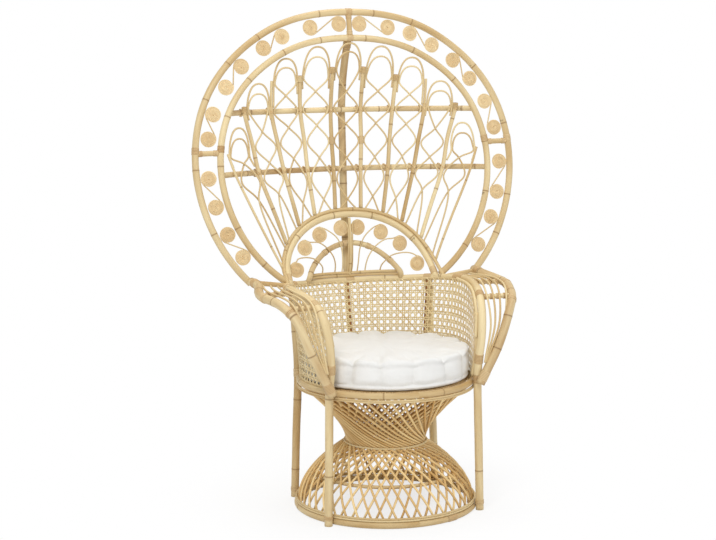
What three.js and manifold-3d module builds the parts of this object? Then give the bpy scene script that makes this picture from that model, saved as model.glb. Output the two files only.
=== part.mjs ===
// A rattan peacock chair: an hourglass pedestal of twisted canes between two hoops, four bound
// legs, a cane barrel seat with a loose round cushion, hooped arms with a strand web, and a tall
// round fan back with scrolls between its two rings.
// Millimetres, +Z up, the front faces -Y, +X is to the right of someone who looks at the front.
// The hoops are drawn about the origin, and the finished chair is moved so that the centre of
// its bounding box stands over the origin.

import * as THREE from 'three';
import { mergeVertices } from 'three/addons/utils/BufferGeometryUtils.js';
import Module from 'manifold-3d';

const wasm = await Module();
wasm.setup();

// Driving sizes

const clearance = 0.3;
const overrun = 12;

const baseHoop = { radius: 269, pole: 10, sides: 8 };
const seatHoop = { radius: 260, pole: 10, height: 391, sides: 8 };
const baseBinding = { radius: 272.6, cane: 3.1, lift: 0.4 };
const seatBinding = { radius: 269.1, cane: 2.6, drop: 14 };
const waist = { radius: 115, height: 201.6, band: 6, hoopCane: 3 };
const hoopSegments = 28;
const waistSegments = 20;

const strand = { count: 44, thickness: 5.6, width: 6.4, gap: 2.6, upperTwist: 61, lowerTwist: 46 };
const pedestal = { baseRadius: 261.4, seatRadius: 252, neckRadius: 163, bellPower: 1.9 };
const bellShares = [0, 0.34, 1];

const legPole = { radius: 12.5, sides: 8 };
const frontLeg = { angle: 55.9, steps: 20, railShare: 0.93 };
const rearLeg = { footAngle: 53.8, seatAngle: 51.7, topAngle: 51.9, topOut: 3.2, steps: 4 };
const legJointHeight = 400;

const rail = {
  radius: 286, pole: 10, sides: 8, spans: 14, steps: 20,
  depth: 30, backHeight: 646, endHeight: 667, endAngle: 74, overShare: 1.05,
};
const railAngleShares = [0, 0.44, 0.716, 0.88, 1];
const railRiseShares = [0, 0.19, 0.667, 0.95, 1];

const armInner = {
  width: 284, reach: 177, height: 671,
  widthShares: [0.82, 0.838, 0.873, 0.923, 0.986, 1],
  reachShares: [-0.944, -1, -0.887, -0.599, -0.124, 0.429],
  heightShares: [0.681, 0.79, 0.896, 0.966, 0.993, 1],
};
const armOuter = {
  pole: 11, sides: 8, steps: 13, width: 392, reach: 182.4, height: 682,
  widthShares: [0.5916, 0.7577, 0.857, 0.898, 0.936, 1, 0.931, 0.9375],
  reachShares: [-1, -0.992, -0.916, -0.795, -0.543, -0.005, 0.609, 0.938],
  heightShares: [0.5735, 0.757, 0.905, 0.9355, 0.96, 0.974, 0.996, 0.999],
};

const back = { centreDepth: 244.8, centreHeight: 1071.5, lean: 9.86 };
const outerRing = { top: 424.2, pole: 10.75, sides: 8, end: 137.5, spans: 24, steps: 27 };
const innerRing = { top: 343.3, pole: 10.25, sides: 8, end: 145.5, spans: 24, steps: 26 };
const ringSpread = 150;
const outerRingShares = [1, 1.0726, 1.1872, 1.2522, 1.2963];
const innerRingShares = [1, 1.083, 1.2301, 1.3274, 1.3924];
const ringStrut = { radius: 8.5, sides: 6, steps: 2, angles: { top: 0, right: 90.5, left: -90.5 } };

const scroll = {
  radius: 24, depth: 6.4, sides: 12, cane: 2.8, caneSides: 4, caneSteps: 3, shift: 16, seat: 0.5,
};
const scrollAngles = [[5.1, 18.7], [31, 41.6], [52.9, 63], [74.3, 84.7], [98, 108.9], [119, 129.3]];

const shell = { bow: 144.7, bottom: 660, rise: 740, halfWidth: 445 };
const bowHeightShares = [0, 0.4595, 0.7095, 0.8378, 0.9189, 1];
const bowShares = [1, 0.712, 0.574, 0.366, 0.159, 0];
const widthHeightShares = [
  0, 0.0405, 0.0743, 0.1351, 0.1892, 0.2608, 0.3689, 0.4595, 0.5554, 0.7095, 0.8378, 1,
];
const widthShares = [
  0.555, 0.602, 0.663, 0.73, 0.7865, 0.8427, 0.9101, 0.9663, 1, 0.9124, 0.7596, 0.62,
];

const fanRod = { radius: 6, sides: 6, steps: 6, seat: 0.6 };
const fanRodHeightShares = [0.15, 0.2919, 0.4595, 0.5811, 0.7095];
const fanRods = [
  { widthShare: 0.11461, topShare: 0.89189, spreadShares: [0.804, 0.843, 0.892, 0.971, 0.98, 1] },
  { widthShare: 0.35955, topShare: 0.85811, spreadShares: [0.644, 0.731, 0.841, 0.891, 0.9625, 1] },
  { widthShare: 0.57528, topShare: 0.83784, spreadShares: [0.612, 0.719, 0.846, 0.92, 0.994, 1] },
  { widthShare: 0.78652, topShare: 0.73514, spreadShares: [0.633, 0.743, 0.874, 0.927, 0.997, 1] },
];
const rimRod = {
  radius: 4, sides: 6, steps: 8,
  widthShares: [0.629, 0.7236, 0.809, 0.8719, 0.9258],
  heightShares: [0.1419, 0.2608, 0.3689, 0.4527, 0.5446],
};
const fanBar = {
  radius: 9, sides: 8, spans: 12, steps: 10, slack: 2, drop: 71.5, rise: 113.5,
};
const backPost = { radius: 12, sides: 8, steps: 10, seat: 0.6 };
const backPostHeightShares = [0.3216, 0.4595, 0.5946, 0.7095, 0.8378, 0.919];

const loopCane = {
  radius: 3, sides: 3, steps: 22, archSteps: 7, front: 5.6, rear: 2, slack: 1.4, footShare: 0.6,
};
const turnShares = [0, 0.25, 0.5, 0.75, 1];
const fanLoops = [
  { gap: 0, archShare: 0.99189, caneShare: 0.95541, crossingShares: [0.78851, 0.64865, 0.50811, 0.32838] },
  { gap: 1, archShare: 0.97703, caneShare: 0.93514, crossingShares: [0.78851, 0.64865, 0.50811, 0.33514] },
  { gap: 2, archShare: 0.92905, caneShare: 0.89189, crossingShares: [0.77365, 0.64324, 0.50811, 0.32432] },
  { gap: 3, archShare: 0.8277, caneShare: 0.78581, crossingShares: [0.62703, 0.5, 0.36486] },
  { gap: 4, archShare: 0.64865, caneShare: 0.60473, crossingShares: [0.5, 0.35135] },
];

const smallArch = {
  width: 242, rise: 190, lift: 20.7, pole: 10, sides: 8, spans: 16, steps: 18,
  roundness: 0.91, startAngle: 12,
  bandCane: 5.5, bandSides: 6, bandGap: 0.8, bandStartAngle: 6,
};
const innerArch = {
  width: 156, rise: 106, pole: 9, sides: 6, spans: 10, steps: 12, power: 1.5, forward: 8,
};
const archScroll = {
  radius: 21.5, depth: 6, sides: 10, cane: 2.6, tailSides: 3, tailSteps: 3, seat: 0.6,
};
const archScrollAngles = [0.104, 0.443, 0.806, 1.336];
const archTailAngles = [0.06, 0.3, 0.52, 0.85];
const archTailRise = 0.72;
const archSill = { cane: 4.7, sides: 4, steps: 6 };
const archSillShares = [-1, -0.5, 0, 0.5, 1];
const archStrut = { cane: 5, sides: 4, steps: 1 };

const panel = {
  thickness: 3, armGap: 7.2, columns: 15, rows: 3, strip: 0.34,
  bow: 20, bowPower: 6, bottomAngle: 120, railShares: [0, 0.25, 0.5, 0.75, 0.95],
};

const web = {
  bar: 7.5, barSides: 5, cane: 3.2, sides: 4, steps: 5,
  barReachShares: [0.86, 0, -0.72], strandShares: [0.25, 0.5, 0.75], innerEndShare: 0.8, upperShare: 0.4,
};
const webJointShares = { width: 0.64, reach: 0.985, height: 1.16 };
const webBendShares = { along: 0.45, width: 0.3, reach: 0.97 };

const deck = { thickness: 12 };
const cushion = {
  radius: 251, height: 86, crown: 12, roll: 6, puckers: 15, pucker: 3, segments: 30, lift: 0.5,
  crownReachShares: [0.75, 0.4], crownRiseShares: [0.55, 0.9],
};

const finishes = {
  pole: { color: 0xdcb985, roughness: 0.55, metalness: 0 },
  wrapped: { color: 0xe0c08e, roughness: 0.6, metalness: 0 },
  cane: { color: 0xe4c796, roughness: 0.5, metalness: 0 },
  strand: { color: 0xd8b47c, roughness: 0.55, metalness: 0 },
  weave: { color: 0xe6cc9c, roughness: 0.65, metalness: 0 },
  cloth: { color: 0xf0eeea, roughness: 0.95, metalness: 0 },
};

// Helpers

const { degToRad, lerp, clamp } = THREE.MathUtils;
const point = (x, y, z) => new THREE.Vector3(x, y, z);
const fromFront = (radius, angle, z) => point(radius * Math.sin(angle), -radius * Math.cos(angle), z);
const fromBack = (radius, angle, z, depth = 0) =>
  point(radius * Math.sin(angle), depth + radius * Math.cos(angle), z);

function tableAt(stops, values, at) {
  const last = stops.length - 1;
  let i = 0;
  while (i < last - 1 && at > stops[i + 1]) i += 1;
  const share = (at - stops[i]) / (stops[i + 1] - stops[i]);
  return lerp(values[i], values[i + 1], clamp(share, 0, 1));
}

// Solids

function solidOf(geometry) {
  geometry.deleteAttribute('normal');
  geometry.deleteAttribute('uv');
  const merged = mergeVertices(geometry);
  return new wasm.Manifold(new wasm.Mesh({
    numProp: 3,
    vertProperties: Float32Array.from(merged.attributes.position.array),
    triVerts: Uint32Array.from(merged.index.array),
  }));
}

function geometryOf(solid) {
  const mesh = solid.getMesh();
  const positions = new Float32Array(mesh.numVert * 3);
  for (let i = 0; i < mesh.numVert; i += 1) {
    for (let k = 0; k < 3; k += 1) positions[i * 3 + k] = mesh.vertProperties[i * mesh.numProp + k];
  }
  const geometry = new THREE.BufferGeometry();
  geometry.setAttribute('position', new THREE.BufferAttribute(positions, 3));
  geometry.setIndex(new THREE.BufferAttribute(Uint32Array.from(mesh.triVerts), 1));
  return geometry;
}

// The largest body of a solid, without the slivers that a cut leaves beyond a joint.
function mainBody(solid) {
  const bodies = solid.decompose();
  return bodies.reduce((best, body) => (body.volume() > best.volume() ? body : best));
}

function section(radius, sides) {
  const turn = (2 * Math.PI) / sides;
  const corners = Array.from({ length: sides }, (_, i) =>
    new THREE.Vector2(radius * Math.cos((i + 0.5) * turn), radius * Math.sin((i + 0.5) * turn)));
  return new THREE.Shape(corners);
}

// A pole is a path with a section; grown by a clearance, it is the cutter for what rests on it.
const pole = (points, radius, sides, steps) => ({ points, radius, sides, steps });

function poleSolid({ points, radius, sides, steps }, grown = 0) {
  const path = new THREE.CatmullRomCurve3(points, false, 'centripetal');
  const shape = section(radius + grown, sides);
  return solidOf(new THREE.ExtrudeGeometry(shape, { extrudePath: path, steps, bevelEnabled: false }));
}

const cutBy = (solid, poles) =>
  mainBody(poles.reduce((rest, other) => rest.subtract(poleSolid(other, clearance)), solid));

// Everything on the far side of a plane, out to a reach that clears the neighbouring piece.
function farSide(origin, direction, reach) {
  const geometry = new THREE.BoxGeometry(reach, reach, reach);
  geometry.translate(0, 0, reach / 2);
  const turn = new THREE.Quaternion().setFromUnitVectors(point(0, 0, 1), direction.clone().normalize());
  geometry.applyQuaternion(turn);
  geometry.translate(origin.x, origin.y, origin.z);
  return solidOf(geometry);
}

// A hoop about the vertical axis, from a closed outline of (radius, height) corners.
function hoopSolid(outline, segments) {
  const corners = outline.map(([r, z]) => new THREE.Vector2(r, z));
  const geometry = new THREE.LatheGeometry([...corners, corners[0]], segments);
  geometry.rotateX(Math.PI / 2);
  return solidOf(geometry);
}

function roundOutline(radius, height, cane, sides) {
  const corner = cane / Math.cos(Math.PI / sides);
  return Array.from({ length: sides }, (_, i) => {
    const angle = ((i + 0.5) * 2 * Math.PI) / sides;
    return [radius + corner * Math.cos(angle), height + corner * Math.sin(angle)];
  });
}

// Two canes laid one on the other, as one outline with a groove between them.
function pairOutline(radius, low, cane) {
  const high = low + 2 * cane;
  const half = cane / 2;
  return [
    [radius - half, low - cane], [radius + cane, low], [radius + half, low + cane],
    [radius + cane, high], [radius - half, high + cane], [radius - cane, low + cane],
  ];
}

const chair = new THREE.Group();
chair.name = 'peacock_chair';
const finished = {};
for (const [name, look] of Object.entries(finishes)) finished[name] = new THREE.MeshStandardMaterial(look);

function add(name, solid, finish) {
  const mesh = new THREE.Mesh(geometryOf(solid), finished[finish].clone());
  mesh.name = name;
  chair.add(mesh);
}

// Pedestal

const baseOutline = roundOutline(baseHoop.radius, baseHoop.pole, baseHoop.pole, baseHoop.sides);
const seatOutline = roundOutline(seatHoop.radius, seatHoop.height, seatHoop.pole, seatHoop.sides);
add('base_hoop', hoopSolid(baseOutline, hoopSegments), 'pole');
add('seat_hoop', hoopSolid(seatOutline, hoopSegments), 'pole');

const baseHoopTop = 2 * baseHoop.pole;
const seatHoopTop = seatHoop.height + seatHoop.pole;
const seatHoopUnderside = seatHoop.height - seatHoop.pole;
const baseBindingLow = baseHoopTop + baseBinding.lift + baseBinding.cane;
const seatBindingLow = seatHoopUnderside - seatBinding.drop;
const baseBindings = pairOutline(baseBinding.radius, baseBindingLow, baseBinding.cane);
const seatBindings = pairOutline(seatBinding.radius, seatBindingLow, seatBinding.cane);
add('base_binding_hoops', hoopSolid(baseBindings, hoopSegments), 'cane');
add('seat_binding_hoops', hoopSolid(seatBindings, hoopSegments), 'cane');

// One layer of the pedestal: canes that lean round the axis, broad and joined edge to edge in the
// band at the waist, free above and below it. The outer layer leans one way, the inner one the
// other, with a gap between them.
function strandLayer(side) {
  const bandTop = waist.height + waist.band / 2;
  const bandLow = waist.height - waist.band / 2;
  const offsetIn = side > 0 ? strand.gap / 2 : -strand.gap / 2 - strand.thickness;
  const seatEnd = seatHoopUnderside - clearance;
  const baseEnd = baseHoopTop + clearance;
  const upperTurn = -degToRad(strand.upperTwist);
  const stations = [
    { z: seatEnd, r: pedestal.seatRadius, turn: upperTurn, free: true },
    { z: (seatEnd + bandTop) / 2, r: pedestal.neckRadius, turn: upperTurn / 2, free: true },
    { z: bandTop, r: waist.radius, turn: 0, free: false },
  ];
  bellShares.forEach((share, i) => {
    stations.push({
      z: lerp(bandLow, baseEnd, share),
      r: lerp(waist.radius, pedestal.baseRadius, 1 - (1 - share) ** pedestal.bellPower),
      turn: degToRad(strand.lowerTwist) * share,
      free: i > 0,
    });
  });
  const positions = [];
  const faces = [];
  const pitch = (2 * Math.PI) / strand.count;
  const corner = (k, i, right, outer) => {
    const { free } = stations[i];
    const owner = free || !right ? k : (k + 1) % strand.count;
    return ((owner * stations.length + i) * 2 + (free && right ? 1 : 0)) * 2 + (outer ? 1 : 0);
  };
  for (let k = 0; k < strand.count; k += 1) {
    stations.forEach(({ z, r, turn, free }) => {
      for (const right of [false, true]) {
        for (const outer of [false, true]) {
          const radius = r + offsetIn + (outer ? strand.thickness : 0);
          const half = free ? strand.width / 2 / r / Math.cos(degToRad(strand.upperTwist) / 2) : pitch / 2;
          const angle = k * pitch + side * turn + (right ? half : -half);
          positions.push(...fromFront(radius, angle, z).toArray());
        }
      }
    });
  }
  const quad = (a, b, c, d) => faces.push(a, b, c, a, c, d);
  for (let k = 0; k < strand.count; k += 1) {
    const at = (i, right, outer) => corner(k, i, right, outer);
    const cap = (i, flip) => {
      const [p, q] = flip ? [true, false] : [false, true];
      quad(at(i, p, false), at(i, q, false), at(i, q, true), at(i, p, true));
    };
    cap(0, true);
    for (let i = 0; i < stations.length - 1; i += 1) {
      quad(at(i + 1, false, true), at(i + 1, true, true), at(i, true, true), at(i, false, true));
      quad(at(i, true, false), at(i + 1, true, false), at(i + 1, false, false), at(i, false, false));
      if (stations[i].free || stations[i + 1].free) {
        quad(at(i, true, true), at(i + 1, true, true), at(i + 1, true, false), at(i, true, false));
        quad(at(i, false, false), at(i + 1, false, false), at(i + 1, false, true), at(i, false, true));
      }
    }
    cap(stations.length - 1, false);
  }
  const geometry = new THREE.BufferGeometry();
  geometry.setAttribute('position', new THREE.BufferAttribute(Float32Array.from(positions), 3));
  geometry.setIndex(faces);
  return solidOf(geometry);
}
add('pedestal_outer_strands', strandLayer(1), 'strand');
add('pedestal_inner_strands', strandLayer(-1), 'strand');

const waistSides = 6;
const waistOuter = waist.radius + strand.gap / 2 + strand.thickness + clearance;
const waistHoopRadius = waistOuter / Math.cos(Math.PI / waistSegments)
  + waist.hoopCane / Math.cos(Math.PI / waistSides);
add('waist_hoop', hoopSolid(
  roundOutline(waistHoopRadius, waist.height, waist.hoopCane, waistSides), waistSegments,
), 'cane');

// Legs, rail and arms

const footRadius = baseHoop.radius + baseHoop.pole + legPole.radius + clearance;
const seatTangent = seatHoop.radius + seatHoop.pole + legPole.radius + clearance;
const railHeight = (share) => rail.backHeight + (rail.endHeight - rail.backHeight)
  * tableAt(railAngleShares, railRiseShares, Math.abs(share));
const onRail = (share, radius = rail.radius, lift = 0) =>
  fromBack(radius, share * degToRad(rail.endAngle), railHeight(share) + lift, rail.depth);
const railPoints = Array.from({ length: rail.spans + 1 }, (_, i) =>
  onRail(lerp(-rail.overShare, rail.overShare, i / rail.spans)));
const railPole = pole(railPoints, rail.pole, rail.sides, rail.steps);

const armInnerPoints = (side) => armInner.widthShares.map((share, i) => point(
  side * armInner.width * share,
  armInner.reach * armInner.reachShares[i],
  armInner.height * armInner.heightShares[i],
));
const frontLegPole = (side) => {
  const angle = side * degToRad(frontLeg.angle);
  const stand = (height) => fromFront(lerp(footRadius, seatTangent, height / legJointHeight), angle, height);
  const lower = [-overrun, legJointHeight / 2, legJointHeight].map(stand);
  const onward = onRail(side * frontLeg.railShare);
  return pole([...lower, ...armInnerPoints(side), onward], legPole.radius, legPole.sides, frontLeg.steps);
};
const rearLegPole = (side) => {
  const foot = (height) => fromBack(
    lerp(footRadius, seatTangent, height / legJointHeight),
    side * degToRad(lerp(rearLeg.footAngle, rearLeg.seatAngle, height / legJointHeight)), height,
  );
  const top = onRail(side * (rearLeg.topAngle / rail.endAngle), rail.radius + rearLeg.topOut);
  const points = [-overrun, legJointHeight / 2, legJointHeight].map(foot);
  return pole([...points, top], legPole.radius, legPole.sides, rearLeg.steps);
};
const armOuterPole = (side) => pole(armOuter.widthShares.map((share, i) => point(
  side * armOuter.width * share,
  armOuter.reach * armOuter.reachShares[i],
  armOuter.height * armOuter.heightShares[i],
)), armOuter.pole, armOuter.sides, armOuter.steps);

const sides = [['left', -1], ['right', 1]];
const floor = farSide(point(0, 0, 0), point(0, 0, -1), 4 * baseHoop.radius);
const railEnd = (side) => {
  const angle = side * degToRad(rail.endAngle);
  return { origin: fromBack(rail.radius, angle, rail.endHeight, rail.depth),
    onward: point(side * Math.cos(angle), -side * Math.sin(angle), 0) };
};
let railSolid = poleSolid(railPole);
for (const [name, side] of sides) {
  const { origin, onward } = railEnd(side);
  const backward = onward.clone().negate();
  const gapOrigin = origin.clone().addScaledVector(backward, clearance);
  railSolid = railSolid.subtract(farSide(gapOrigin, onward, rail.radius / 2));
  const legSolid = poleSolid(frontLegPole(side)).subtract(floor)
    .subtract(farSide(origin, backward, rail.radius / 2));
  add(`front_leg_${name}`, mainBody(legSolid), 'pole');
  add(`rear_leg_${name}`, cutBy(poleSolid(rearLegPole(side)).subtract(floor), [railPole]), 'pole');
}
add('back_rail', mainBody(railSolid), 'pole');

// The arm's web: three cross bars between the poles, and canes that run over them to the front
// and down between the poles to the joint.
function barBetween(side, reachShare) {
  const y = armOuter.reach * reachShare;
  const innerPoints = [...armInnerPoints(side), onRail(side * web.innerEndShare)];
  const inner = new THREE.CatmullRomCurve3(innerPoints, false, 'centripetal');
  const outer = new THREE.CatmullRomCurve3(armOuterPole(side).points, false, 'centripetal');
  const tries = 60;
  const nearest = (curve) => {
    let best = curve.getPoint(1);
    for (let i = 1; i < tries; i += 1) {
      const at = curve.getPoint(lerp(1, web.upperShare, i / tries));
      if (Math.abs(at.y - y) < Math.abs(best.y - y)) best = at;
    }
    return best;
  };
  return [nearest(inner), nearest(outer)];
}
const webBars = (side) => web.barReachShares.map((share) => {
  const [inner, outer] = barBetween(side, share);
  return pole([inner, outer], web.bar, web.barSides, 1);
});
function webSolid(side) {
  const bars = webBars(side);
  const joint = point(
    side * armOuter.width * webJointShares.width,
    -armOuter.reach * webJointShares.reach,
    legJointHeight * webJointShares.height,
  );
  let solid = bars.reduce((sum, bar) => sum.add(poleSolid(bar)), poleSolid(bars[0]));
  for (const share of web.strandShares) {
    const over = bars.map(({ points: [inner, outer] }) =>
      inner.clone().lerp(outer, share).add(point(0, 0, web.bar + web.cane / 2)));
    const bend = over[2].clone().lerp(joint, webBendShares.along);
    bend.x = lerp(over[2].x, joint.x, webBendShares.width);
    bend.y = -armOuter.reach * webBendShares.reach;
    over[2].y -= web.bar;
    const path = pole([...over, bend, joint], web.cane, web.sides, web.steps);
    solid = solid.add(poleSolid(path));
  }
  return cutBy(solid, [frontLegPole(side), armOuterPole(side), railPole]);
}
for (const [name, side] of sides) {
  add(`arm_outer_pole_${name}`, cutBy(poleSolid(armOuterPole(side)), [frontLegPole(side)]), 'pole');
  add(`arm_web_${name}`, webSolid(side), 'cane');
}

// Back rings, in their leaning plane

const lean = degToRad(back.lean);
const upBack = point(0, Math.sin(lean), Math.cos(lean));
const outBack = point(0, -Math.cos(lean), Math.sin(lean));
const backCentre = point(0, back.centreDepth, back.centreHeight);
function onBack(angle, radius, forward = 0) {
  return backCentre.clone().addScaledVector(upBack, radius * Math.cos(angle))
    .addScaledVector(outBack, forward).add(point(radius * Math.sin(angle), 0, 0));
}
function ringRadius(ring, shares, angle) {
  const step = degToRad(ringSpread) / (shares.length - 1);
  const both = [...shares.slice(1).reverse(), ...shares];
  const curve = new THREE.SplineCurve(both.map((share, i) => new THREE.Vector2(i, share * ring.top)));
  return curve.getPoint(angle / step / (both.length - 1) + 0.5).y;
}
const outerRadius = (angle) => ringRadius(outerRing, outerRingShares, angle);
const innerRadius = (angle) => ringRadius(innerRing, innerRingShares, angle);
function ringPole(ring, radiusAt) {
  const end = degToRad(ring.end);
  const points = Array.from({ length: ring.spans + 1 }, (_, i) => {
    const angle = lerp(-end, end, i / ring.spans);
    return onBack(angle, radiusAt(angle));
  });
  return pole(points, ring.pole, ring.sides, ring.steps);
}
const outerRingPole = ringPole(outerRing, outerRadius);
const innerRingPole = ringPole(innerRing, innerRadius);
const bothSides = sides.map(([, side]) => side);
add('back_outer_ring', cutBy(poleSolid(outerRingPole), [
  ...bothSides.map(armOuterPole), ...bothSides.flatMap(webBars),
]), 'wrapped');
add('back_inner_ring', cutBy(poleSolid(innerRingPole), [
  ...bothSides.flatMap(webBars), ...bothSides.map(frontLegPole), railPole,
]), 'wrapped');

for (const [name, degrees] of Object.entries(ringStrut.angles)) {
  const angle = degToRad(degrees);
  const ends = [innerRadius(angle), outerRadius(angle)].map((radius) => onBack(angle, radius));
  const strut = poleSolid(pole(ends, ringStrut.radius, ringStrut.sides, ringStrut.steps));
  add(`ring_strut_${name}`, cutBy(strut, [outerRingPole, innerRingPole]), 'wrapped');
}

// A pair of flat scrolls between the rings, wound from one cane that crosses between them.
function disc(centre, { radius, depth, sides: corners }, turn) {
  const shape = section(radius, corners);
  const geometry = new THREE.ExtrudeGeometry(shape, { depth, bevelEnabled: false });
  geometry.translate(0, 0, -depth / 2);
  geometry.applyQuaternion(turn);
  geometry.translate(centre.x, centre.y, centre.z);
  return solidOf(geometry);
}
const faceBack = new THREE.Quaternion().setFromRotationMatrix(
  new THREE.Matrix4().makeBasis(point(1, 0, 0), upBack, outBack),
);
function scrollPair([near, far], side) {
  const seat = outerRing.pole + scroll.radius + scroll.seat;
  const centres = [near, far].map((degrees) => {
    const angle = side * degToRad(degrees);
    return { angle, radius: outerRadius(angle) - seat };
  });
  const middle = (centres[0].angle + centres[1].angle) / 2;
  const turn = (side * scroll.shift) / outerRadius(middle);
  const rim = scroll.radius - scroll.cane;
  const crossing = [
    onBack(centres[0].angle, centres[0].radius + rim),
    onBack(middle - turn, outerRadius(middle - turn) - outerRing.pole - scroll.cane - scroll.seat),
    onBack(middle + turn, innerRadius(middle + turn) + innerRing.pole + scroll.cane + scroll.seat),
    onBack(centres[1].angle, centres[1].radius - rim),
  ];
  const cane = poleSolid(pole(crossing, scroll.cane, scroll.caneSides, scroll.caneSteps));
  const discs = centres.map(({ angle, radius }) => disc(onBack(angle, radius), scroll, faceBack));
  return cutBy(cane.add(discs[0]).add(discs[1]), [outerRingPole, innerRingPole]);
}
for (const [name, side] of sides) {
  scrollAngles.forEach((pair, i) => add(`ring_scroll_${name}_${i + 1}`, scrollPair(pair, side), 'cane'));
}

// The fan's shell: it leaves the rings' plane backwards in a bow that dies out at the top.
const shellShare = (z) => (z - shell.bottom) / shell.rise;
const shellAt = (share) => shell.bottom + shell.rise * share;
function onShell(x, z, behind = 0) {
  const share = shellShare(z);
  const bow = shell.bow * tableAt(bowHeightShares, bowShares, share);
  const half = shell.halfWidth * tableAt(widthHeightShares, widthShares, share);
  const plane = back.centreDepth + (z - back.centreHeight) * Math.tan(lean);
  return point(x, plane + bow * Math.max(0, 1 - (x / half) ** 2) + behind, z);
}

// Small arch over the seat: its ellipse, from one foot (angle 0) over the top to the other.
const archFoot = rail.backHeight + smallArch.lift;
function archAt(angle, grown = 0) {
  const run = Math.cos(angle);
  const x = (smallArch.width + grown) * Math.sign(run) * Math.abs(run) ** smallArch.roundness;
  return point(x, 0, archFoot + (smallArch.rise + grown) * Math.sin(angle));
}
function archPath(grown, start) {
  const { spans } = smallArch;
  const rounds = Array.from({ length: spans + 1 }, (_, i) =>
    archAt(lerp(start, Math.PI - start, i / spans), grown));
  return rounds.map(({ x, z }) => onShell(x, z));
}
const archRailShare = Math.asin(smallArch.width / rail.radius) / degToRad(rail.endAngle);
const archPole = pole(
  [onRail(archRailShare), ...archPath(0, degToRad(smallArch.startAngle)), onRail(-archRailShare)],
  smallArch.pole, smallArch.sides, smallArch.steps,
);
const bandGrown = smallArch.pole + smallArch.bandCane + smallArch.bandGap;
const bandPole = pole(
  archPath(bandGrown, degToRad(smallArch.bandStartAngle)),
  smallArch.bandCane, smallArch.bandSides, smallArch.steps,
);
const allBars = bothSides.flatMap(webBars);
add('small_arch_hoop', cutBy(poleSolid(archPole), [railPole, ...allBars]), 'pole');
add('small_arch_band', cutBy(poleSolid(bandPole), [archPole, railPole, innerRingPole, ...allBars]), 'pole');

// Where a line that narrows downwards meets the middle of the arch's band.
function meetArch(widthAt) {
  const rise = smallArch.rise + bandGrown;
  let low = archFoot;
  let high = archFoot + rise;
  const halvings = 30;
  for (let i = 0; i < halvings; i += 1) {
    const middle = (low + high) / 2;
    const run = (Math.abs(widthAt(middle)) / (smallArch.width + bandGrown)) ** (1 / smallArch.roundness);
    if (run ** 2 + ((middle - archFoot) / rise) ** 2 < 1) low = middle; else high = middle;
  }
  return low;
}

// Fan rods, bars and post
const rodTop = ({ topShare }) => shellAt(topShare);
const rodStops = (rod) => [...fanRodHeightShares.map(shellAt), rodTop(rod)];
// A table read at a height, and below its first stop along the line of its first two.
const tableOrBelow = (stops, values, z) => tableAt(stops, values, z)
  + Math.min(0, z - stops[0]) * (values[1] - values[0]) / (stops[1] - stops[0]);
const rodAt = (rod, z) => shell.halfWidth * rod.widthShare * tableOrBelow(rodStops(rod), rod.spreadShares, z);
const above = (foot, heights) => [foot, ...heights.filter((z) => z > foot + clearance)];
const rodStop = [{ ...bandPole, radius: bandPole.radius + fanRod.seat }];
fanRods.forEach((rod, i) => {
  for (const [name, side] of sides) {
    const foot = meetArch((z) => rodAt(rod, z));
    const heights = above(foot, rodStops(rod));
    const points = heights.map((z) => onShell(side * rodAt(rod, z), z));
    const solid = poleSolid(pole(points, fanRod.radius, fanRod.sides, fanRod.steps));
    add(`fan_rod_${name}_${i + 1}`, cutBy(solid, rodStop), 'wrapped');
  }
});

const ringHalfWidth = (z) => {
  const along = (z - back.centreHeight) / Math.cos(lean);
  let angle = Math.PI / 2;
  const rounds = 12;
  for (let i = 0; i < rounds; i += 1) angle = Math.acos(along / innerRadius(angle));
  return innerRadius(angle) * Math.sin(angle);
};
const barBehind = fanRod.radius + fanBar.radius + fanBar.slack;
const barHeights = { lower: back.centreHeight - fanBar.drop, upper: back.centreHeight + fanBar.rise };
for (const [name, z] of Object.entries(barHeights)) {
  const half = ringHalfWidth(z);
  const points = Array.from({ length: fanBar.spans + 1 }, (_, i) =>
    onShell(lerp(-half, half, i / fanBar.spans), z, barBehind));
  const bar = poleSolid(pole(points, fanBar.radius, fanBar.sides, fanBar.steps));
  add(`fan_bar_${name}`, cutBy(bar, [innerRingPole, archPole, bandPole]), 'wrapped');
}
const postBehind = barBehind + fanBar.radius + backPost.radius - backPost.seat;
const postFoot = rail.depth + rail.radius + rail.pole + backPost.radius + clearance;
const postTop = onBack(0, innerRing.top, -innerRing.pole - backPost.radius - clearance);
const postPoints = [
  point(0, postFoot, rail.backHeight - rail.pole), point(0, postFoot, rail.backHeight + rail.pole),
  ...backPostHeightShares.map((share) => onShell(0, shellAt(share), postBehind)),
  postTop, postTop.clone().addScaledVector(upBack, backPost.radius),
];
add('back_post', cutBy(
  poleSolid(pole(postPoints, backPost.radius, backPost.sides, backPost.steps)),
  [innerRingPole, railPole],
), 'wrapped');

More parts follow.
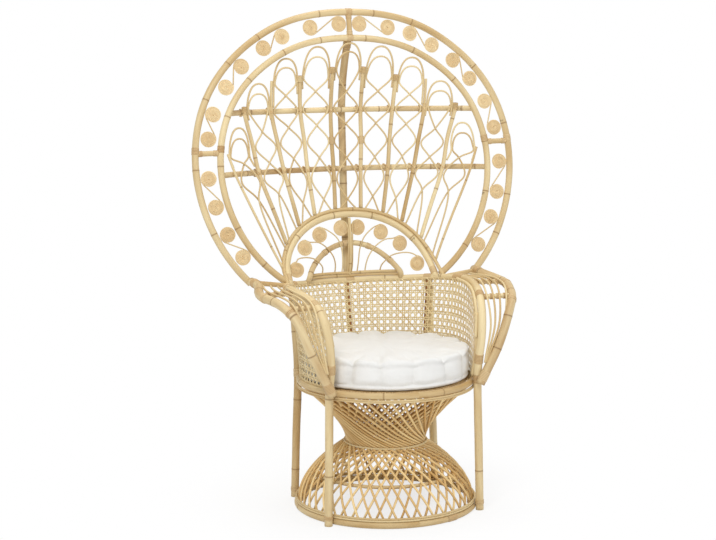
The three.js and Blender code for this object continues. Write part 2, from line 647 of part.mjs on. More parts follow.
// Fan loops: in each gap between two rods an arch stands on the rod tops, and a cane loops down
// from it and crosses itself, one leg in front of the other, down to the small arch.
const rimStops = rimRod.heightShares.map(shellAt);
const rimAt = (z) => shell.halfWidth * tableOrBelow(rimStops, rimRod.widthShares, z);
const rimTop = rimStops[rimStops.length - 1];
function gapEdges(gap) {
  if (gap === 0) return [(z) => -rodAt(fanRods[0], z), (z) => rodAt(fanRods[0], z)];
  const inner = (z) => rodAt(fanRods[gap - 1], z);
  return [inner, gap < fanRods.length ? (z) => rodAt(fanRods[gap], z) : rimAt];
}
function loopSolid({ gap, archShare, caneShare, crossingShares }, side) {
  const archTop = shellAt(archShare);
  const caneTop = shellAt(caneShare);
  const crossings = crossingShares.map(shellAt);
  const [leftEdge, rightEdge] = gapEdges(gap);
  const middle = (z) => (leftEdge(z) + rightEdge(z)) / 2;
  const half = (z) => (rightEdge(z) - leftEdge(z)) / 2;
  const besideTops = [fanRods[Math.max(gap - 1, 0)], fanRods[gap]].map((rod) => (rod ? rodTop(rod) : rimTop));
  const lowestTop = Math.min(...besideTops);
  const start = lowestTop - 2 * fanRod.radius;
  const beside = fanRod.radius + loopCane.radius + clearance;
  const besideRim = rimRod.radius / 2;
  const outerBeside = gap === fanRods.length ? besideRim : beside;
  const at = (x, z, behind) => onShell(side * x, z, behind);
  const lead = gap === fanRods.length ? (archTop - start) / 2 : 0;
  const spanAt = (z, inset) => [leftEdge(z + lead) + beside + inset, rightEdge(z) - outerBeside - inset];
  const roundOver = (inset, top) => turnShares.map((share) => {
    const angle = Math.PI * share;
    const [low, high] = spanAt(start, inset);
    const x = (low + high) / 2 - ((high - low) / 2) * Math.cos(angle);
    return at(x, start + (top - start) * Math.sin(angle), 0);
  });
  const low = start - 2 * fanRod.radius;
  const archFeet = spanAt(low, 0).map((x) => at(x, low, 0));
  const archSolid = poleSolid(pole(
    [archFeet[0], ...roundOver(0, archTop), archFeet[1]],
    loopCane.radius, loopCane.sides, loopCane.archSteps,
  ));
  const inset = loopCane.radius / 2;
  const overTop = roundOver(inset, caneTop);
  const leg = (sign) => {
    const behind = sign > 0 ? -loopCane.front : loopCane.rear;
    const points = [];
    crossings.forEach((z, i) => {
      points.push(at(middle(z), z, behind));
      const next = crossings[i + 1];
      const turned = i % 2 === 0 ? -sign : sign;
      if (next) {
        const wide = (z + next) / 2;
        const reach = half(wide) - fanRod.radius - loopCane.radius - loopCane.slack;
        points.push(at(middle(wide) + turned * reach, wide, behind));
      } else {
        const width = (height) => middle(height) + turned * loopCane.footShare * half(height);
        const foot = meetArch(width);
        points.push(at(width(foot), foot, 0));
      }
    });
    return points;
  };
  const caneLine = [...leg(-1).reverse(), ...overTop, ...leg(1)];
  const cane = poleSolid(pole(caneLine, loopCane.radius, loopCane.sides, loopCane.steps));
  let solid = archSolid.add(cane);
  if (gap === fanRods.length) {
    const foot = meetArch(rimAt);
    const points = above(foot, rimStops).map((z) => at(rimAt(z), z, 0));
    solid = solid.add(poleSolid(pole(points, rimRod.radius, rimRod.sides, rimRod.steps)));
  }
  return cutBy(solid, rodStop);
}
for (const loop of fanLoops) {
  if (loop.gap === 0) add('fan_loop_centre', loopSolid(loop, 1), 'cane');
  else for (const [name, side] of sides) add(`fan_loop_${name}_${loop.gap}`, loopSolid(loop, side), 'cane');
}

// Scrollwork under the small arch: a wrapped inner arch on the rail with a cane sill between its
// feet, a strut at the middle, and four flat scrolls a side, whose ends sweep down to the sill.
const scrollSurface = (x, z) => onShell(x, z, -innerArch.forward);
function scrollworkSolid() {
  const footShare = Math.asin(innerArch.width / rail.radius) / degToRad(rail.endAngle);
  const base = railHeight(footShare) + rail.pole;
  const over = Array.from({ length: innerArch.spans - 1 }, (_, i) => {
    const angle = (Math.PI * (i + 1)) / innerArch.spans;
    const rise = innerArch.rise * Math.sin(angle) ** innerArch.power;
    return scrollSurface(innerArch.width * Math.cos(angle), base + rise);
  });
  const feet = [onRail(footShare), onRail(-footShare)];
  const arch = pole([feet[0], ...over, feet[1]], innerArch.pole, innerArch.sides, innerArch.steps);
  const sillRise = rail.pole + clearance + archSill.cane;
  const sillPoints = archSillShares.map((share) => onRail(share * footShare, rail.radius, sillRise));
  const sill = pole(sillPoints, archSill.cane, archSill.sides, archSill.steps);
  const strutTop = archFoot + smallArch.rise - smallArch.pole - archScroll.seat;
  const strut = pole(
    [scrollSurface(0, strutTop), onRail(0, rail.radius, sillRise)],
    archStrut.cane, archStrut.sides, archStrut.steps,
  );
  let solid = [sill, strut].reduce((sum, part) => sum.add(poleSolid(part)), poleSolid(arch));
  for (const side of bothSides) {
    archScrollAngles.forEach((angle, i) => {
      const reach = smallArch.pole + archScroll.radius + archScroll.seat;
      const { x, z } = archAt(Math.PI / 2 - angle);
      const slope = Math.atan2(Math.sin(angle) / smallArch.width, Math.cos(angle) / smallArch.rise);
      const centre = scrollSurface(side * (x - reach * Math.sin(slope)), z - reach * Math.cos(slope));
      const meet = Math.PI / 2 - archTailAngles[i];
      const tail = [
        point(centre.x, centre.y, centre.z + archScroll.radius - archScroll.cane),
        scrollSurface(centre.x - side * archScroll.radius, centre.z + archScroll.radius * archTailRise),
        scrollSurface(
          side * innerArch.width * Math.cos(meet), base + innerArch.rise * Math.sin(meet) ** innerArch.power,
        ),
      ];
      const tailSolid = poleSolid(pole(tail, archScroll.cane, archScroll.tailSides, archScroll.tailSteps));
      solid = solid.add(disc(centre, archScroll, faceBack)).add(tailSolid);
    });
  }
  return cutBy(solid, [railPole]);
}
add('arch_scrollwork', scrollworkSolid(), 'cane');

// Cane panel round the seat: a net between the seat hoop and the rail, with the arms' inner
// poles along its top and front edges.
function panelSolid() {
  const half = panel.thickness / 2;
  const lowRadius = seatHoop.radius - half;
  const low = seatHoopTop + clearance;
  const inward = (p, inset) => {
    const across = Math.hypot(p.x, p.y - rail.depth);
    const share = (across - inset - half - clearance) / across;
    return point(p.x * share, rail.depth + (p.y - rail.depth) * share, p.z);
  };
  const along = panel.railShares.map((share) => inward(onRail(share), rail.pole));
  const armPoints = armInnerPoints(1).slice(2).reverse()
    .map((p) => inward(p, legPole.radius + panel.armGap));
  const hem = new THREE.CatmullRomCurve3([...along, ...armPoints], false, 'centripetal');
  const surface = (u, v, outward) => {
    const side = Math.sign(u) || 1;
    const share = Math.abs(u);
    const angle = degToRad(panel.bottomAngle) * share;
    const top = hem.getPointAt(share);
    const bottom = fromBack(lowRadius, angle, low);
    const p = bottom.lerp(top, v);
    p.y -= panel.bow * share ** panel.bowPower * Math.sin(Math.PI * v);
    const from = Math.hypot(p.x, p.y);
    return point(side * p.x * (1 + outward / from), p.y * (1 + outward / from), p.z);
  };
  const lines = (count) => Array.from({ length: 2 * count + 2 }, (_, i) => {
    const cell = 1 / (count + panel.strip);
    return Math.floor(i / 2) * cell + (i % 2) * cell * panel.strip;
  });
  const across = lines(panel.columns).map((share) => 2 * share - 1);
  const upward = lines(panel.rows);
  const positions = [];
  const id = (i, j, outer) => (i * upward.length + j) * 2 + outer;
  for (const u of across) {
    for (const v of upward) {
      for (const outward of [-half, half]) positions.push(...surface(u, v, outward).toArray());
    }
  }
  const faces = [];
  const quad = (a, b, c, d) => faces.push(a, b, c, a, c, d);
  const filled = (i, j) => i >= 0 && j >= 0 && i < across.length - 1 && j < upward.length - 1
    && !(i % 2 === 1 && j % 2 === 1);
  for (let i = 0; i < across.length - 1; i += 1) {
    for (let j = 0; j < upward.length - 1; j += 1) {
      if (!filled(i, j)) continue;
      const ids = (outer) => [
        id(i, j, outer), id(i + 1, j, outer), id(i + 1, j + 1, outer), id(i, j + 1, outer),
      ];
      const [a, b, c, d] = ids(0);
      const [e, f, g, h] = ids(1);
      quad(a, b, c, d);
      quad(h, g, f, e);
      if (!filled(i, j - 1)) quad(b, a, e, f);
      if (!filled(i + 1, j)) quad(c, b, f, g);
      if (!filled(i, j + 1)) quad(d, c, g, h);
      if (!filled(i - 1, j)) quad(a, d, h, e);
    }
  }
  const geometry = new THREE.BufferGeometry();
  geometry.setAttribute('position', new THREE.BufferAttribute(Float32Array.from(positions), 3));
  geometry.setIndex(faces);
  return solidOf(geometry);
}
add('cane_panel', panelSolid(), 'weave');

// Seat deck in the hoop, and the loose cushion on it
const deckRadius = seatHoop.radius - seatHoop.pole - clearance;
const deckTop = seatHoopTop;
const deckLow = deckTop - deck.thickness;
const deckMiddle = deckTop - deck.thickness / 2;
const deckFlat = deckRadius - deck.thickness / 2;
const deckCorners = [
  [0, deckLow], [deckFlat, deckLow], [deckRadius, deckMiddle], [deckFlat, deckTop], [0, deckTop],
];
function turned(corners, segments, shape) {
  const geometry = new THREE.LatheGeometry(corners.map(([r, z]) => new THREE.Vector2(r, z)), segments);
  geometry.rotateX(Math.PI / 2);
  if (shape) shape(geometry.attributes.position);
  return solidOf(geometry);
}
add('seat_deck', turned(deckCorners, hoopSegments), 'weave');

// The cushion's wall is drawn in by stitches between a rolled edge above and one below, and its
// top rises in a crown.
const cushionLow = seatHoopTop + cushion.lift;
const cushionCorners = () => {
  const { radius, height, crown, roll, crownReachShares, crownRiseShares } = cushion;
  const rim = height - crown;
  const rises = crownReachShares.map((share, i) => [radius * share, rim + crown * crownRiseShares[i]]);
  return [
    [0, 0], [radius - 2 * roll, 0], [radius, roll], [radius - roll / 2, 2 * roll],
    [radius + roll / 4, rim / 2], [radius - roll / 2, rim - 2 * roll], [radius, rim - roll],
    [radius - 2 * roll, rim], ...rises, [0, height],
  ].map(([r, z]) => [r, cushionLow + z]);
};
function pucker(positions) {
  const middle = cushionLow + (cushion.height - cushion.crown) / 2;
  for (let i = 0; i < positions.count; i += 1) {
    const [x, y, z] = [positions.getX(i), positions.getY(i), positions.getZ(i)];
    const radius = Math.hypot(x, y);
    const onWall = radius > cushion.radius - cushion.roll && Math.abs(z - middle) < cushion.height / 4;
    const fold = onWall ? cushion.pucker * Math.cos(Math.atan2(y, x) * cushion.puckers) : 0;
    const share = radius > 0 ? 1 - Math.max(0, fold) / radius : 1;
    positions.setXYZ(i, x * share, y * share, z);
  }
}
add('cushion', turned(cushionCorners(), cushion.segments, pucker), 'cloth');

const extent = new THREE.Box3().setFromObject(chair);
chair.position.set(0, -(extent.min.y + extent.max.y) / 2, 0);

export default chair;
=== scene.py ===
"""A rattan peacock chair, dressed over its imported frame. Metres, +Z up, the front faces -Y."""
import math
import random
from math import cos, pi, radians, sin

import bpy
import numpy as np
from mathutils import Matrix, Vector, noise


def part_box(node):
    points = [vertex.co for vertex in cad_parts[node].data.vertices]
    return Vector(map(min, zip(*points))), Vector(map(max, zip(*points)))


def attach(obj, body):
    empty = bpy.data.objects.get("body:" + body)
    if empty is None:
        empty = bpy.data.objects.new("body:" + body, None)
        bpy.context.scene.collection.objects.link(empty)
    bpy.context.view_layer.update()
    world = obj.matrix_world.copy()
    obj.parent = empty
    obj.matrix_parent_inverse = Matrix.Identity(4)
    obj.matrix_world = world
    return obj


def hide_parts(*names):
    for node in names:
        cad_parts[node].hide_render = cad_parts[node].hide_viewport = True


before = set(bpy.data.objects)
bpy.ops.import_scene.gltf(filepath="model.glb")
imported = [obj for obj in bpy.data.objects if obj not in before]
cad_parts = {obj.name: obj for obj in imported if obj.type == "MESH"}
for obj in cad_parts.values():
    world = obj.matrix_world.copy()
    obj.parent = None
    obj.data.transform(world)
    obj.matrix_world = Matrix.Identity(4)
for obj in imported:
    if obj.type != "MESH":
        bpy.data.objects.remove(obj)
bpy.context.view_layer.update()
hoop_low, hoop_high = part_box("base_hoop")
SHIFT = (hoop_low.y + hoop_high.y) / 2      # the chair is drawn about its hoops' axis
rng = random.Random(7)
SIDES = (("left", -1), ("right", 1))

# ---- lines and tubes


def line(points, step=0.009):
    """A smooth line through the points (centripetal Catmull-Rom), in even steps."""
    p = np.array(points, float)
    p = np.vstack([2 * p[0] - p[1], p, 2 * p[-1] - p[-2]])
    out = []
    for i in range(1, len(p) - 2):
        p0, p1, p2, p3 = p[i - 1:i + 3]
        spans = ((p0, p1), (p1, p2), (p2, p3))
        d0, d1, d2 = (max(1e-4, np.linalg.norm(b - a)) ** 0.5 for a, b in spans)
        t1 = ((p1 - p0) / d0 - (p2 - p0) / (d0 + d1) + (p2 - p1) / d1) * d1
        t2 = ((p2 - p1) / d1 - (p3 - p1) / (d1 + d2) + (p3 - p2) / d2) * d1
        t = np.linspace(0, 1, 17)[:-1, None]
        out.append(p1 + t1 * t + (3 * (p2 - p1) - 2 * t1 - t2) * t ** 2 + (t1 + t2 - 2 * (p2 - p1)) * t ** 3)
    out.append(p[-2][None])
    return even(np.vstack(out), step)


def even(p, step):
    """The same line with its points a step apart."""
    run = run_of(p)
    count = max(2, int(round(run[-1] / step)) + 1)
    at = np.linspace(0, run[-1], count)
    return np.stack([np.interp(at, run, p[:, k]) for k in range(3)], 1)


def run_of(p):
    """How far along the line each of its points is."""
    return np.concatenate([[0], np.cumsum(np.linalg.norm(np.diff(p, axis=0), axis=1))])


def place(p, run, at):
    """The point a distance along the line p, whose run is known."""
    return np.array([np.interp(at, run, p[:, k]) for k in range(3)])


def new_mesh(name, verts, faces, materials, **values):
    """A smooth mesh with its materials and its point values."""
    mesh = bpy.data.meshes.new(name)
    mesh.from_pydata(verts, [], faces)
    for key, numbers in values.items():
        layer = mesh.attributes.new(key, "FLOAT", "POINT")
        layer.data.foreach_set("value", np.array(numbers, np.float32))
    for m in materials:
        mesh.materials.append(m)
    mesh.polygons.foreach_set("use_smooth", [True] * len(faces))
    mesh.update()
    return mesh


def put(name, data):
    """A new object in the scene."""
    obj = bpy.data.objects.new(name, data)
    bpy.context.scene.collection.objects.link(obj)
    return obj


UV_SPREAD = 37      # metres over which the pieces' UV maps are spread, so no two canes look alike
NODE_STEPS = (-0.007, -0.0035, -0.0014, 0, 0.0014, 0.0035, 0.007)       # extra rings about a node
RIDGE = ((0.04, 0.0), (0.25, 0.8), (0.5, 1.0), (0.75, 0.8), (0.96, 0.0))     # one turn of peel: place, lift


class Piece:
    """One mesh made of tubes and strips. Its UV map is in metres, along and across the cane. Two point values
    go to
    the materials: 'tint', and a second that marks the dark node lines and painted shade in grooves and creases."""

    def __init__(self, name, slot, materials, nodes=(), body="frame"):
        self.name, self.slot, self.materials, self.nodes, self.body = name, slot, materials, nodes, body
        self.v, self.f, self.uv, self.tint, self.knot, self.mat, self.count = [], [], [], [], [], [], 0

    def add(self, verts, faces, uvs, tint, knot, mat):
        self.v.append(verts)
        self.f += [[i + self.count for i in f] for f in faces]
        self.uv += uvs
        self.tint.append(np.full(len(verts), tint))
        self.knot.append(np.broadcast_to(knot, len(verts)).astype(float))
        self.mat += [mat] * len(faces)
        self.count += len(verts)

    def tube(self, p, radius, sides=10, mat=0, closed=False, knot=None, up=None):
        """A tube along the points. radius is one number or one for each point; up turns its section."""
        p = np.array(p, float)
        n = len(p)
        tint = rng.random()
        radius = np.broadcast_to(np.array(radius, float), n)
        knot = np.zeros(n) if knot is None else knot
        t = (np.roll(p, -1, 0) - np.roll(p, 1, 0)) if closed else np.gradient(p, axis=0)
        t /= np.linalg.norm(t, axis=1)[:, None] + 1e-12
        if up is None:
            up = (0, 0, 1) if abs(t[0][2]) < 0.9 else (1, 0, 0)
        a = np.array(up, float)
        side = []
        for i in range(n):
            a = a - t[i] * a.dot(t[i])
            a /= np.linalg.norm(a) + 1e-12
            side.append(a)
        a = np.array(side)
        if closed:      # share out the turn that is left when the frame comes round
            b = np.cross(t, a)
            left = math.atan2(a[-1].dot(b[0]), a[-1].dot(a[0]))
            turn = -left * np.arange(n) / n
            a = a * np.cos(turn)[:, None] + b * np.sin(turn)[:, None]
        b = np.cross(t, a)
        w = np.arange(sides) * 2 * pi / sides
        ring = a[:, None] * np.cos(w)[None, :, None] + b[:, None] * np.sin(w)[None, :, None]
        verts = (p[:, None] + ring * radius[:, None, None]).reshape(-1, 3)
        run = run_of(np.vstack([p, p[:1]]) if closed else p) + tint * UV_SPREAD
        around = 2 * pi * float(radius.mean())
        faces, uvs = [], []
        for i in range(n if closed else n - 1):
            j = (i + 1) % n
            for k in range(sides):
                m = (k + 1) % sides
                faces.append([i * sides + k, j * sides + k, j * sides + m, i * sides + m])
                v0, v1 = around * k / sides, around * (k + 1) / sides
                uvs += [(run[i], v0), (run[i + 1], v0), (run[i + 1], v1), (run[i], v1)]
        if not closed:
            for end, order in ((0, range(sides)), (n - 1, range(sides - 1, -1, -1))):
                faces.append([end * sides + k for k in order])
                uvs += [(run[end] + 0.002 * cos(w[k]), 0.002 * sin(w[k])) for k in order]
        self.add(verts, faces, uvs, tint, np.repeat(knot, sides), mat)

    def pole(self, points, radius, sides=14, mat=0, gap=(0.17, 0.34), closed=False):
        """A natural pole: a slight swelling and a dark line at each of its nodes, which lie a gap apart.
        An array is a ready path, and a list of a few points becomes a smooth one."""
        p = points if isinstance(points, np.ndarray) else line(points)
        if closed:
            p = np.vstack([p, p[:1]])
        run = run_of(p)
        nodes, at = [], rng.uniform(0.05, 0.2)
        while at < run[-1] - 0.03:
            nodes.append(at)
            at += rng.uniform(*gap)
        extra = [n + d for n in nodes for d in NODE_STEPS]
        where = np.array(sorted(set(list(run) + [e for e in extra if 0 < e < run[-1]])))
        p = np.stack([np.interp(where, run, p[:, k]) for k in range(3)], 1)
        knot, swell = np.zeros(len(where)), np.ones(len(where))
        for n in nodes:
            off = where - n
            knot = np.maximum(knot, np.exp(-(off / 0.0018) ** 2))
            swell += 0.045 * np.exp(-(off / 0.005) ** 2) - 0.03 * np.exp(-((off - 0.002) / 0.0012) ** 2)
        wobble = 1 + 0.012 * np.sin(where * 23 + rng.uniform(0, 6))
        wobble += 0.008 * np.sin(where * 61 + rng.uniform(0, 6))
        if closed:
            p, knot, swell, wobble = p[:-1], knot[:-1], swell[:-1], 1
        self.tube(p, radius * swell * wobble * 0.985, sides, mat, closed, knot=knot)

    def wrap(self, points, radius, start, length, mat=1, cane=0.0042, sides=14):
        """Peel wound round a pole from a start, in metres along it: each turn is a low ridge.
        Fewer than 40 points become a smooth line first."""
        p = line(points, 0.004) if len(points) < 40 else np.array(points, float)
        run = run_of(p)
        turns = max(2, int(round(length / cane)))
        at, lift = [], []
        for i in range(turns):
            for d, h in RIDGE:
                at.append(start + (i + d) * cane)
                lift.append(h)
        q = np.array([place(p, run, min(max(s, 0), run[-1])) for s in at])
        # Painted shade: the grooves between the turns are darkened toward the node colour.
        knot = 1 - np.array(lift)
        self.tube(q, radius + 0.0011 * np.array(lift) + 0.0003, sides, mat, knot=knot * 0.8)

    def finish(self):
        """Makes the object, on its body and in place of its CAD nodes."""
        verts = np.vstack(self.v)
        verts[:, 1] += SHIFT
        tint, knot = np.concatenate(self.tint), np.concatenate(self.knot)
        mesh = new_mesh(self.name, verts.tolist(), self.f, self.materials, tint=tint, knot=knot)
        uv = mesh.uv_layers.new(name="UVMap")
        uv.data.foreach_set("uv", np.array(self.uv, np.float32).ravel())
        mesh.polygons.foreach_set("material_index", self.mat)
        mesh.update()
        obj = put(self.name, mesh)
        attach(obj, self.body)
        if self.nodes:
            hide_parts(*self.nodes)


def pole_piece(name, slot, bark, node, path, radius, wraps=(), wrap_radius=None, sides=14, **how):
    """A piece of one pole, with peel wound round it at each start and length of the wraps."""
    piece = Piece(name, slot, [bark, PEEL], [node])
    piece.pole(path, radius, sides, **how)
    for start, length in wraps:
        piece.wrap(path, wrap_radius or radius, start, length, sides=sides)
    piece.finish()


# ---- materials


class Graph:
    """Short hands for the nodes of a material or a world."""

    def __init__(self, owner):
        owner.use_nodes = True
        self.owner, self.tree = owner, owner.node_tree
        self.bsdf = self.tree.nodes.get("Principled BSDF")

    def node(self, kind, settings=None, **inputs):
        """A new node. An input is given by its name, with _ for a space, or as i and its number."""
        n = self.tree.nodes.new("ShaderNode" + kind)
        for key, value in (settings or {}).items():
            setattr(n, key, value)
        for key, value in inputs.items():
            numbered = key[0] == "i" and key[1:].isdigit()
            socket = n.inputs[int(key[1:]) if numbered else key.replace("_", " ")]
            if isinstance(value, bpy.types.NodeSocket):
                self.tree.links.new(value, socket)
            else:
                socket.default_value = value
        return n

    def math(self, op, a, b=0.0, clamp=False):
        return self.node("Math", {"operation": op, "use_clamp": clamp}, i0=a, i1=b).outputs[0]

    def mix(self, factor, a, b):
        n = self.node("Mix", {"data_type": "RGBA"})
        for index, value in ((0, factor), (6, a), (7, b)):
            if isinstance(value, bpy.types.NodeSocket):
                self.tree.links.new(value, n.inputs[index])
            else:
                n.inputs[index].default_value = value if index == 0 else (*value, 1)
        return n.outputs[2]

    def noise(self, vector, scale=1.0, detail=2.0, rough=0.5):
        n = self.node("TexNoise", None, Vector=vector, Scale=scale, Detail=detail, Roughness=rough)
        return n.outputs[0]

    def value(self, name):
        """A point value of the mesh: tint, or the one for dark node lines and painted shade."""
        return self.node("Attribute", {"attribute_name": name}).outputs["Fac"]

    def stretched(self, along, across, extra):
        """Places for a noise, scaled along and across the cane and moved on by the cane's tint."""
        uv = self.node("SeparateXYZ", None, Vector=self.node("UVMap").outputs[0])
        return self.node(
            "CombineXYZ", None, X=self.math("MULTIPLY", uv.outputs[0], along),
            Y=self.math("MULTIPLY", uv.outputs[1], across), Z=self.math("MULTIPLY", self.value("tint"), extra),
        ).outputs[0]

    def about(self, value, amount):
        """The value's distance from a half, times the amount."""
        return self.math("MULTIPLY", self.math("SUBTRACT", value, 0.5), amount)

    def bump(self, height, distance, strength):
        n = self.node("Bump", None, Height=height, Distance=distance, Strength=strength)
        self.tree.links.new(n.outputs[0], self.bsdf.inputs["Normal"])

    def set(self, **values):
        for key, value in values.items():
            self.bsdf.inputs[key.replace("_", " ")].default_value = value


def linear(*srgb):
    """A colour given from 0 to 255, as the shaders take it."""
    shares = [c / 255 for c in srgb]
    return tuple(c / 12.92 if c <= 0.04045 else ((c + 0.055) / 1.055) ** 2.4 for c in shares)


def cane_material(name, light, dark, knot, rough=0.5, streak=0.5, mottle=1.1, spread=0.55, grain=0.35):
    """Rattan: long fibres, slow mottling along the pole, a tint for each cane and dark lines at the nodes.
    The same dark colour is painted shade in the grooves between the turns of wound peel.
    """
    light, dark, knot = linear(*light), linear(*dark), linear(*knot)
    g = Graph(bpy.data.materials.new(name))
    fibres = g.noise(g.stretched(16, 900, 40), detail=3.0, rough=0.6)
    slow = g.noise(g.stretched(7, 45, 23), detail=2.0)
    patches = g.noise(g.stretched(2.2, 12, 61), detail=1.0)
    tone = g.math("ADD", g.about(fibres, streak), g.about(slow, mottle))
    tone = g.math("ADD", tone, g.about(g.value("tint"), spread))
    tone = g.math("ADD", g.math("ADD", tone, g.about(patches, mottle)), 0.55, clamp=True)
    color = g.mix(tone, dark, light)
    flecks = g.math("GREATER_THAN", g.noise(g.stretched(60, 420, 77), detail=1.0), 0.735)
    color = g.mix(g.math("MULTIPLY", flecks, 0.3), color, knot)
    # Darker at the nodes' lines, and painted shade in the grooves between turns of peel.
    color = g.mix(g.math("MULTIPLY", g.value("knot"), 0.8), color, knot)
    g.tree.links.new(color, g.bsdf.inputs["Base Color"])
    height = g.math("SUBTRACT", g.math("MULTIPLY", fibres, 0.5), g.math("MULTIPLY", g.value("knot"), 0.6))
    g.bump(height, 0.0006, grain)
    g.set(Roughness=rough, IOR=1.45, Specular_IOR_Level=0.35)
    return g.owner


POLE = cane_material("pole_rattan", (232, 214, 170), (187, 154, 102), (136, 98, 56))
BARK = cane_material("arm_rattan", (223, 203, 159), (176, 140, 92), (116, 78, 42), 0.56, mottle=1.7)
PEEL = cane_material("wound_peel", (231, 207, 160), (196, 160, 110), (128, 90, 50), 0.46, mottle=0.7)
CORE = cane_material("thin_core", (228, 209, 164), (198, 167, 116), (150, 112, 66), 0.6, spread=0.5)
COIL = cane_material("scroll_core", (242, 221, 177), (216, 187, 139), (166, 124, 80), 0.62, spread=0.3)
# A darker cane colour for the coils' backing discs: painted shade between the turns.
GAP_SHADE = cane_material("scroll_gap_shade", (208, 172, 124), (180, 142, 96), (132, 96, 60), 0.7)
STRAND = cane_material("pedestal_core", (246, 219, 162), (204, 163, 100), (132, 92, 48), spread=0.9)
WEBBING = cane_material("woven_cane", (246, 229, 183), (216, 188, 134), (158, 116, 66), 0.45, spread=0.7)
# The stiles' darker colour is painted shade, seen through the holes of the weave.
SHADED_STILE = cane_material("stile_painted_shade", (176, 124, 70), (136, 88, 44), (80, 50, 26), 0.6)


def waves(g, where, **inputs):
    """Even bands along X and along Y, for a weave."""
    for axis in "XY":
        yield g.node("TexWave", {"bands_direction": axis}, Vector=where, **inputs).outputs[1]


def cloth_material():
    g = Graph(bpy.data.materials.new("white_cotton"))
    where = g.node("TexCoord").outputs["Object"]
    threads = g.math("ADD", *waves(g, where, Scale=420.0, Distortion=1.2, Detail=1.0))
    slub = g.noise(where, 210.0, 3.0, 0.65)
    crease = g.noise(where, 17.0, 4.0, 0.55)
    soil = g.noise(where, 6.0, 2.0)
    color = g.mix(g.math("MULTIPLY", soil, 0.5), linear(242, 242, 240), linear(234, 233, 230))
    # Painted shade: greyer in the pinched creases at the puckers and along the seams.
    color = g.mix(g.math("MULTIPLY", g.value("knot"), 0.5), color, linear(212, 210, 204))
    g.tree.links.new(color, g.bsdf.inputs["Base Color"])
    height = g.math("ADD", g.math("MULTIPLY", threads, 0.10), g.math("MULTIPLY", slub, 0.35))
    g.bump(g.math("ADD", height, g.math("MULTIPLY", crease, 4.0)), 0.0022, 0.8)
    g.set(Roughness=0.95, Sheen_Weight=0.15, Sheen_Roughness=0.5, Specular_IOR_Level=0.15)
    return g.owner


def deck_material():
    g = Graph(bpy.data.materials.new("deck_weave"))
    where = g.node("TexCoord").outputs["Object"]
    checks = g.node("TexChecker", None, Vector=where, Scale=95.0).outputs[1]
    along, across = waves(g, where, Scale=48.0)
    over = g.node("Mix", {"data_type": "FLOAT"}, i0=checks, i2=along, i3=across).outputs[0]
    worn = g.math("MULTIPLY", g.noise(where, 30.0), 0.5)
    tone = g.math("ADD", g.math("MULTIPLY", over, 0.6), worn, clamp=True)
    color = g.mix(tone, linear(150, 110, 66), linear(222, 190, 136))
    g.tree.links.new(color, g.bsdf.inputs["Base Color"])
    g.bump(over, 0.002, 0.6)
    g.set(Roughness=0.6)
    return g.owner


CLOTH = cloth_material()
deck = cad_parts["seat_deck"].data.materials
deck.clear()
deck.append(deck_material())

# ---- the chair's lines, as its solids have them

LEG, RAIL_POLE, RING_POLE, HOOP_POLE = 0.0123, 0.0102, 0.0107, 0.0108   # radii; the inner ring has the rail's
RAIL, RAIL_DEPTH, RAIL_SPAN = 0.286, 0.030, 74      # the rail's radius, its centre's place, its half angle
RAIL_END = radians(RAIL_SPAN)
REAR_SHARE = 51.9 / RAIL_SPAN      # where the rear legs meet the rail
FOOT, SEAT, SEAT_Z = 0.2918, 0.2828, 0.4    # how far out the legs stand at the floor and at the seat
ARM_FRONT = 0.1824
LEAN = radians(9.86)           # of the round back
BACK_Y, BACK_Z = 0.2448, 1.0715
UP = np.array([0, sin(LEAN), cos(LEAN)])
OUT = np.array([0, -cos(LEAN), sin(LEAN)])
RIGHT = np.array([1.0, 0, 0])
CENTRE = np.array([0, BACK_Y, BACK_Z])
INNER_TOP, OUTER_TOP = 0.3433, 0.4242       # the rings' radii at the top
FAN_LOW, FAN_HEIGHT, FAN_HALF = 0.66, 0.74, 0.445
ARCH_FOOT, ARCH_HALF, ARCH_RISE, ARCH_ROUND = 0.6667, 0.242, 0.19, 0.91
BAND = 0.0163       # from the small arch to the thin band over it


def table(stops, values, at):
    return float(np.interp(at, stops, values))


def ring_at(radius, z, count=160, start=0.0, end=2 * pi, closed=True):
    """A circle about the chair's axis, from the front, or an arc of it with both its ends."""
    w = start + (end - start) * np.arange(count if closed else count + 1) / count
    return np.stack([radius * np.sin(w), -radius * np.cos(w), np.full(len(w), z)], 1)


def from_front(radius, angle, z):
    return np.array([radius * sin(angle), -radius * cos(angle), z])


def from_back(radius, angle, z, depth=0.0):
    return np.array([radius * sin(angle), depth + radius * cos(angle), z])


def rail_height(share):
    return 0.646 + 0.021 * table([0, 0.44, 0.716, 0.88, 1], [0, 0.19, 0.667, 0.95, 1], abs(share))


def on_rail(share, radius=RAIL, lift=0.0):
    """A place on the back rail, whose share runs from -1 at its left end to 1."""
    return from_back(radius, share * RAIL_END, rail_height(share) + lift, RAIL_DEPTH)


def arm_inner(side):
    return [np.array([side * x, y, z]) for x, y, z in (
        (0.2329, -0.1671, 0.4570), (0.2380, -0.1770, 0.5301), (0.2479, -0.1570, 0.6012),
        (0.2621, -0.1060, 0.6482), (0.2800, -0.0219, 0.6663), (0.2840, 0.0759, 0.6710))]


def arm_outer(side):
    return [np.array([side * x, y, z]) for x, y, z in (
        (0.2319, -0.1824, 0.3911), (0.2970, -0.1809, 0.5163), (0.3359, -0.1671, 0.6172),
        (0.3520, -0.1450, 0.6380), (0.3669, -0.0990, 0.6547), (0.3920, -0.0009, 0.6643),
        (0.3650, 0.1111, 0.6793), (0.3675, 0.1711, 0.6813))]


def soften(path):
    """The same line with its corners rounded off, as a thick pole bends."""
    path = path.copy()
    for _ in range(8):
        path[1:-1] = (path[:-2] + 2 * path[1:-1] + path[2:]) / 4
    return path


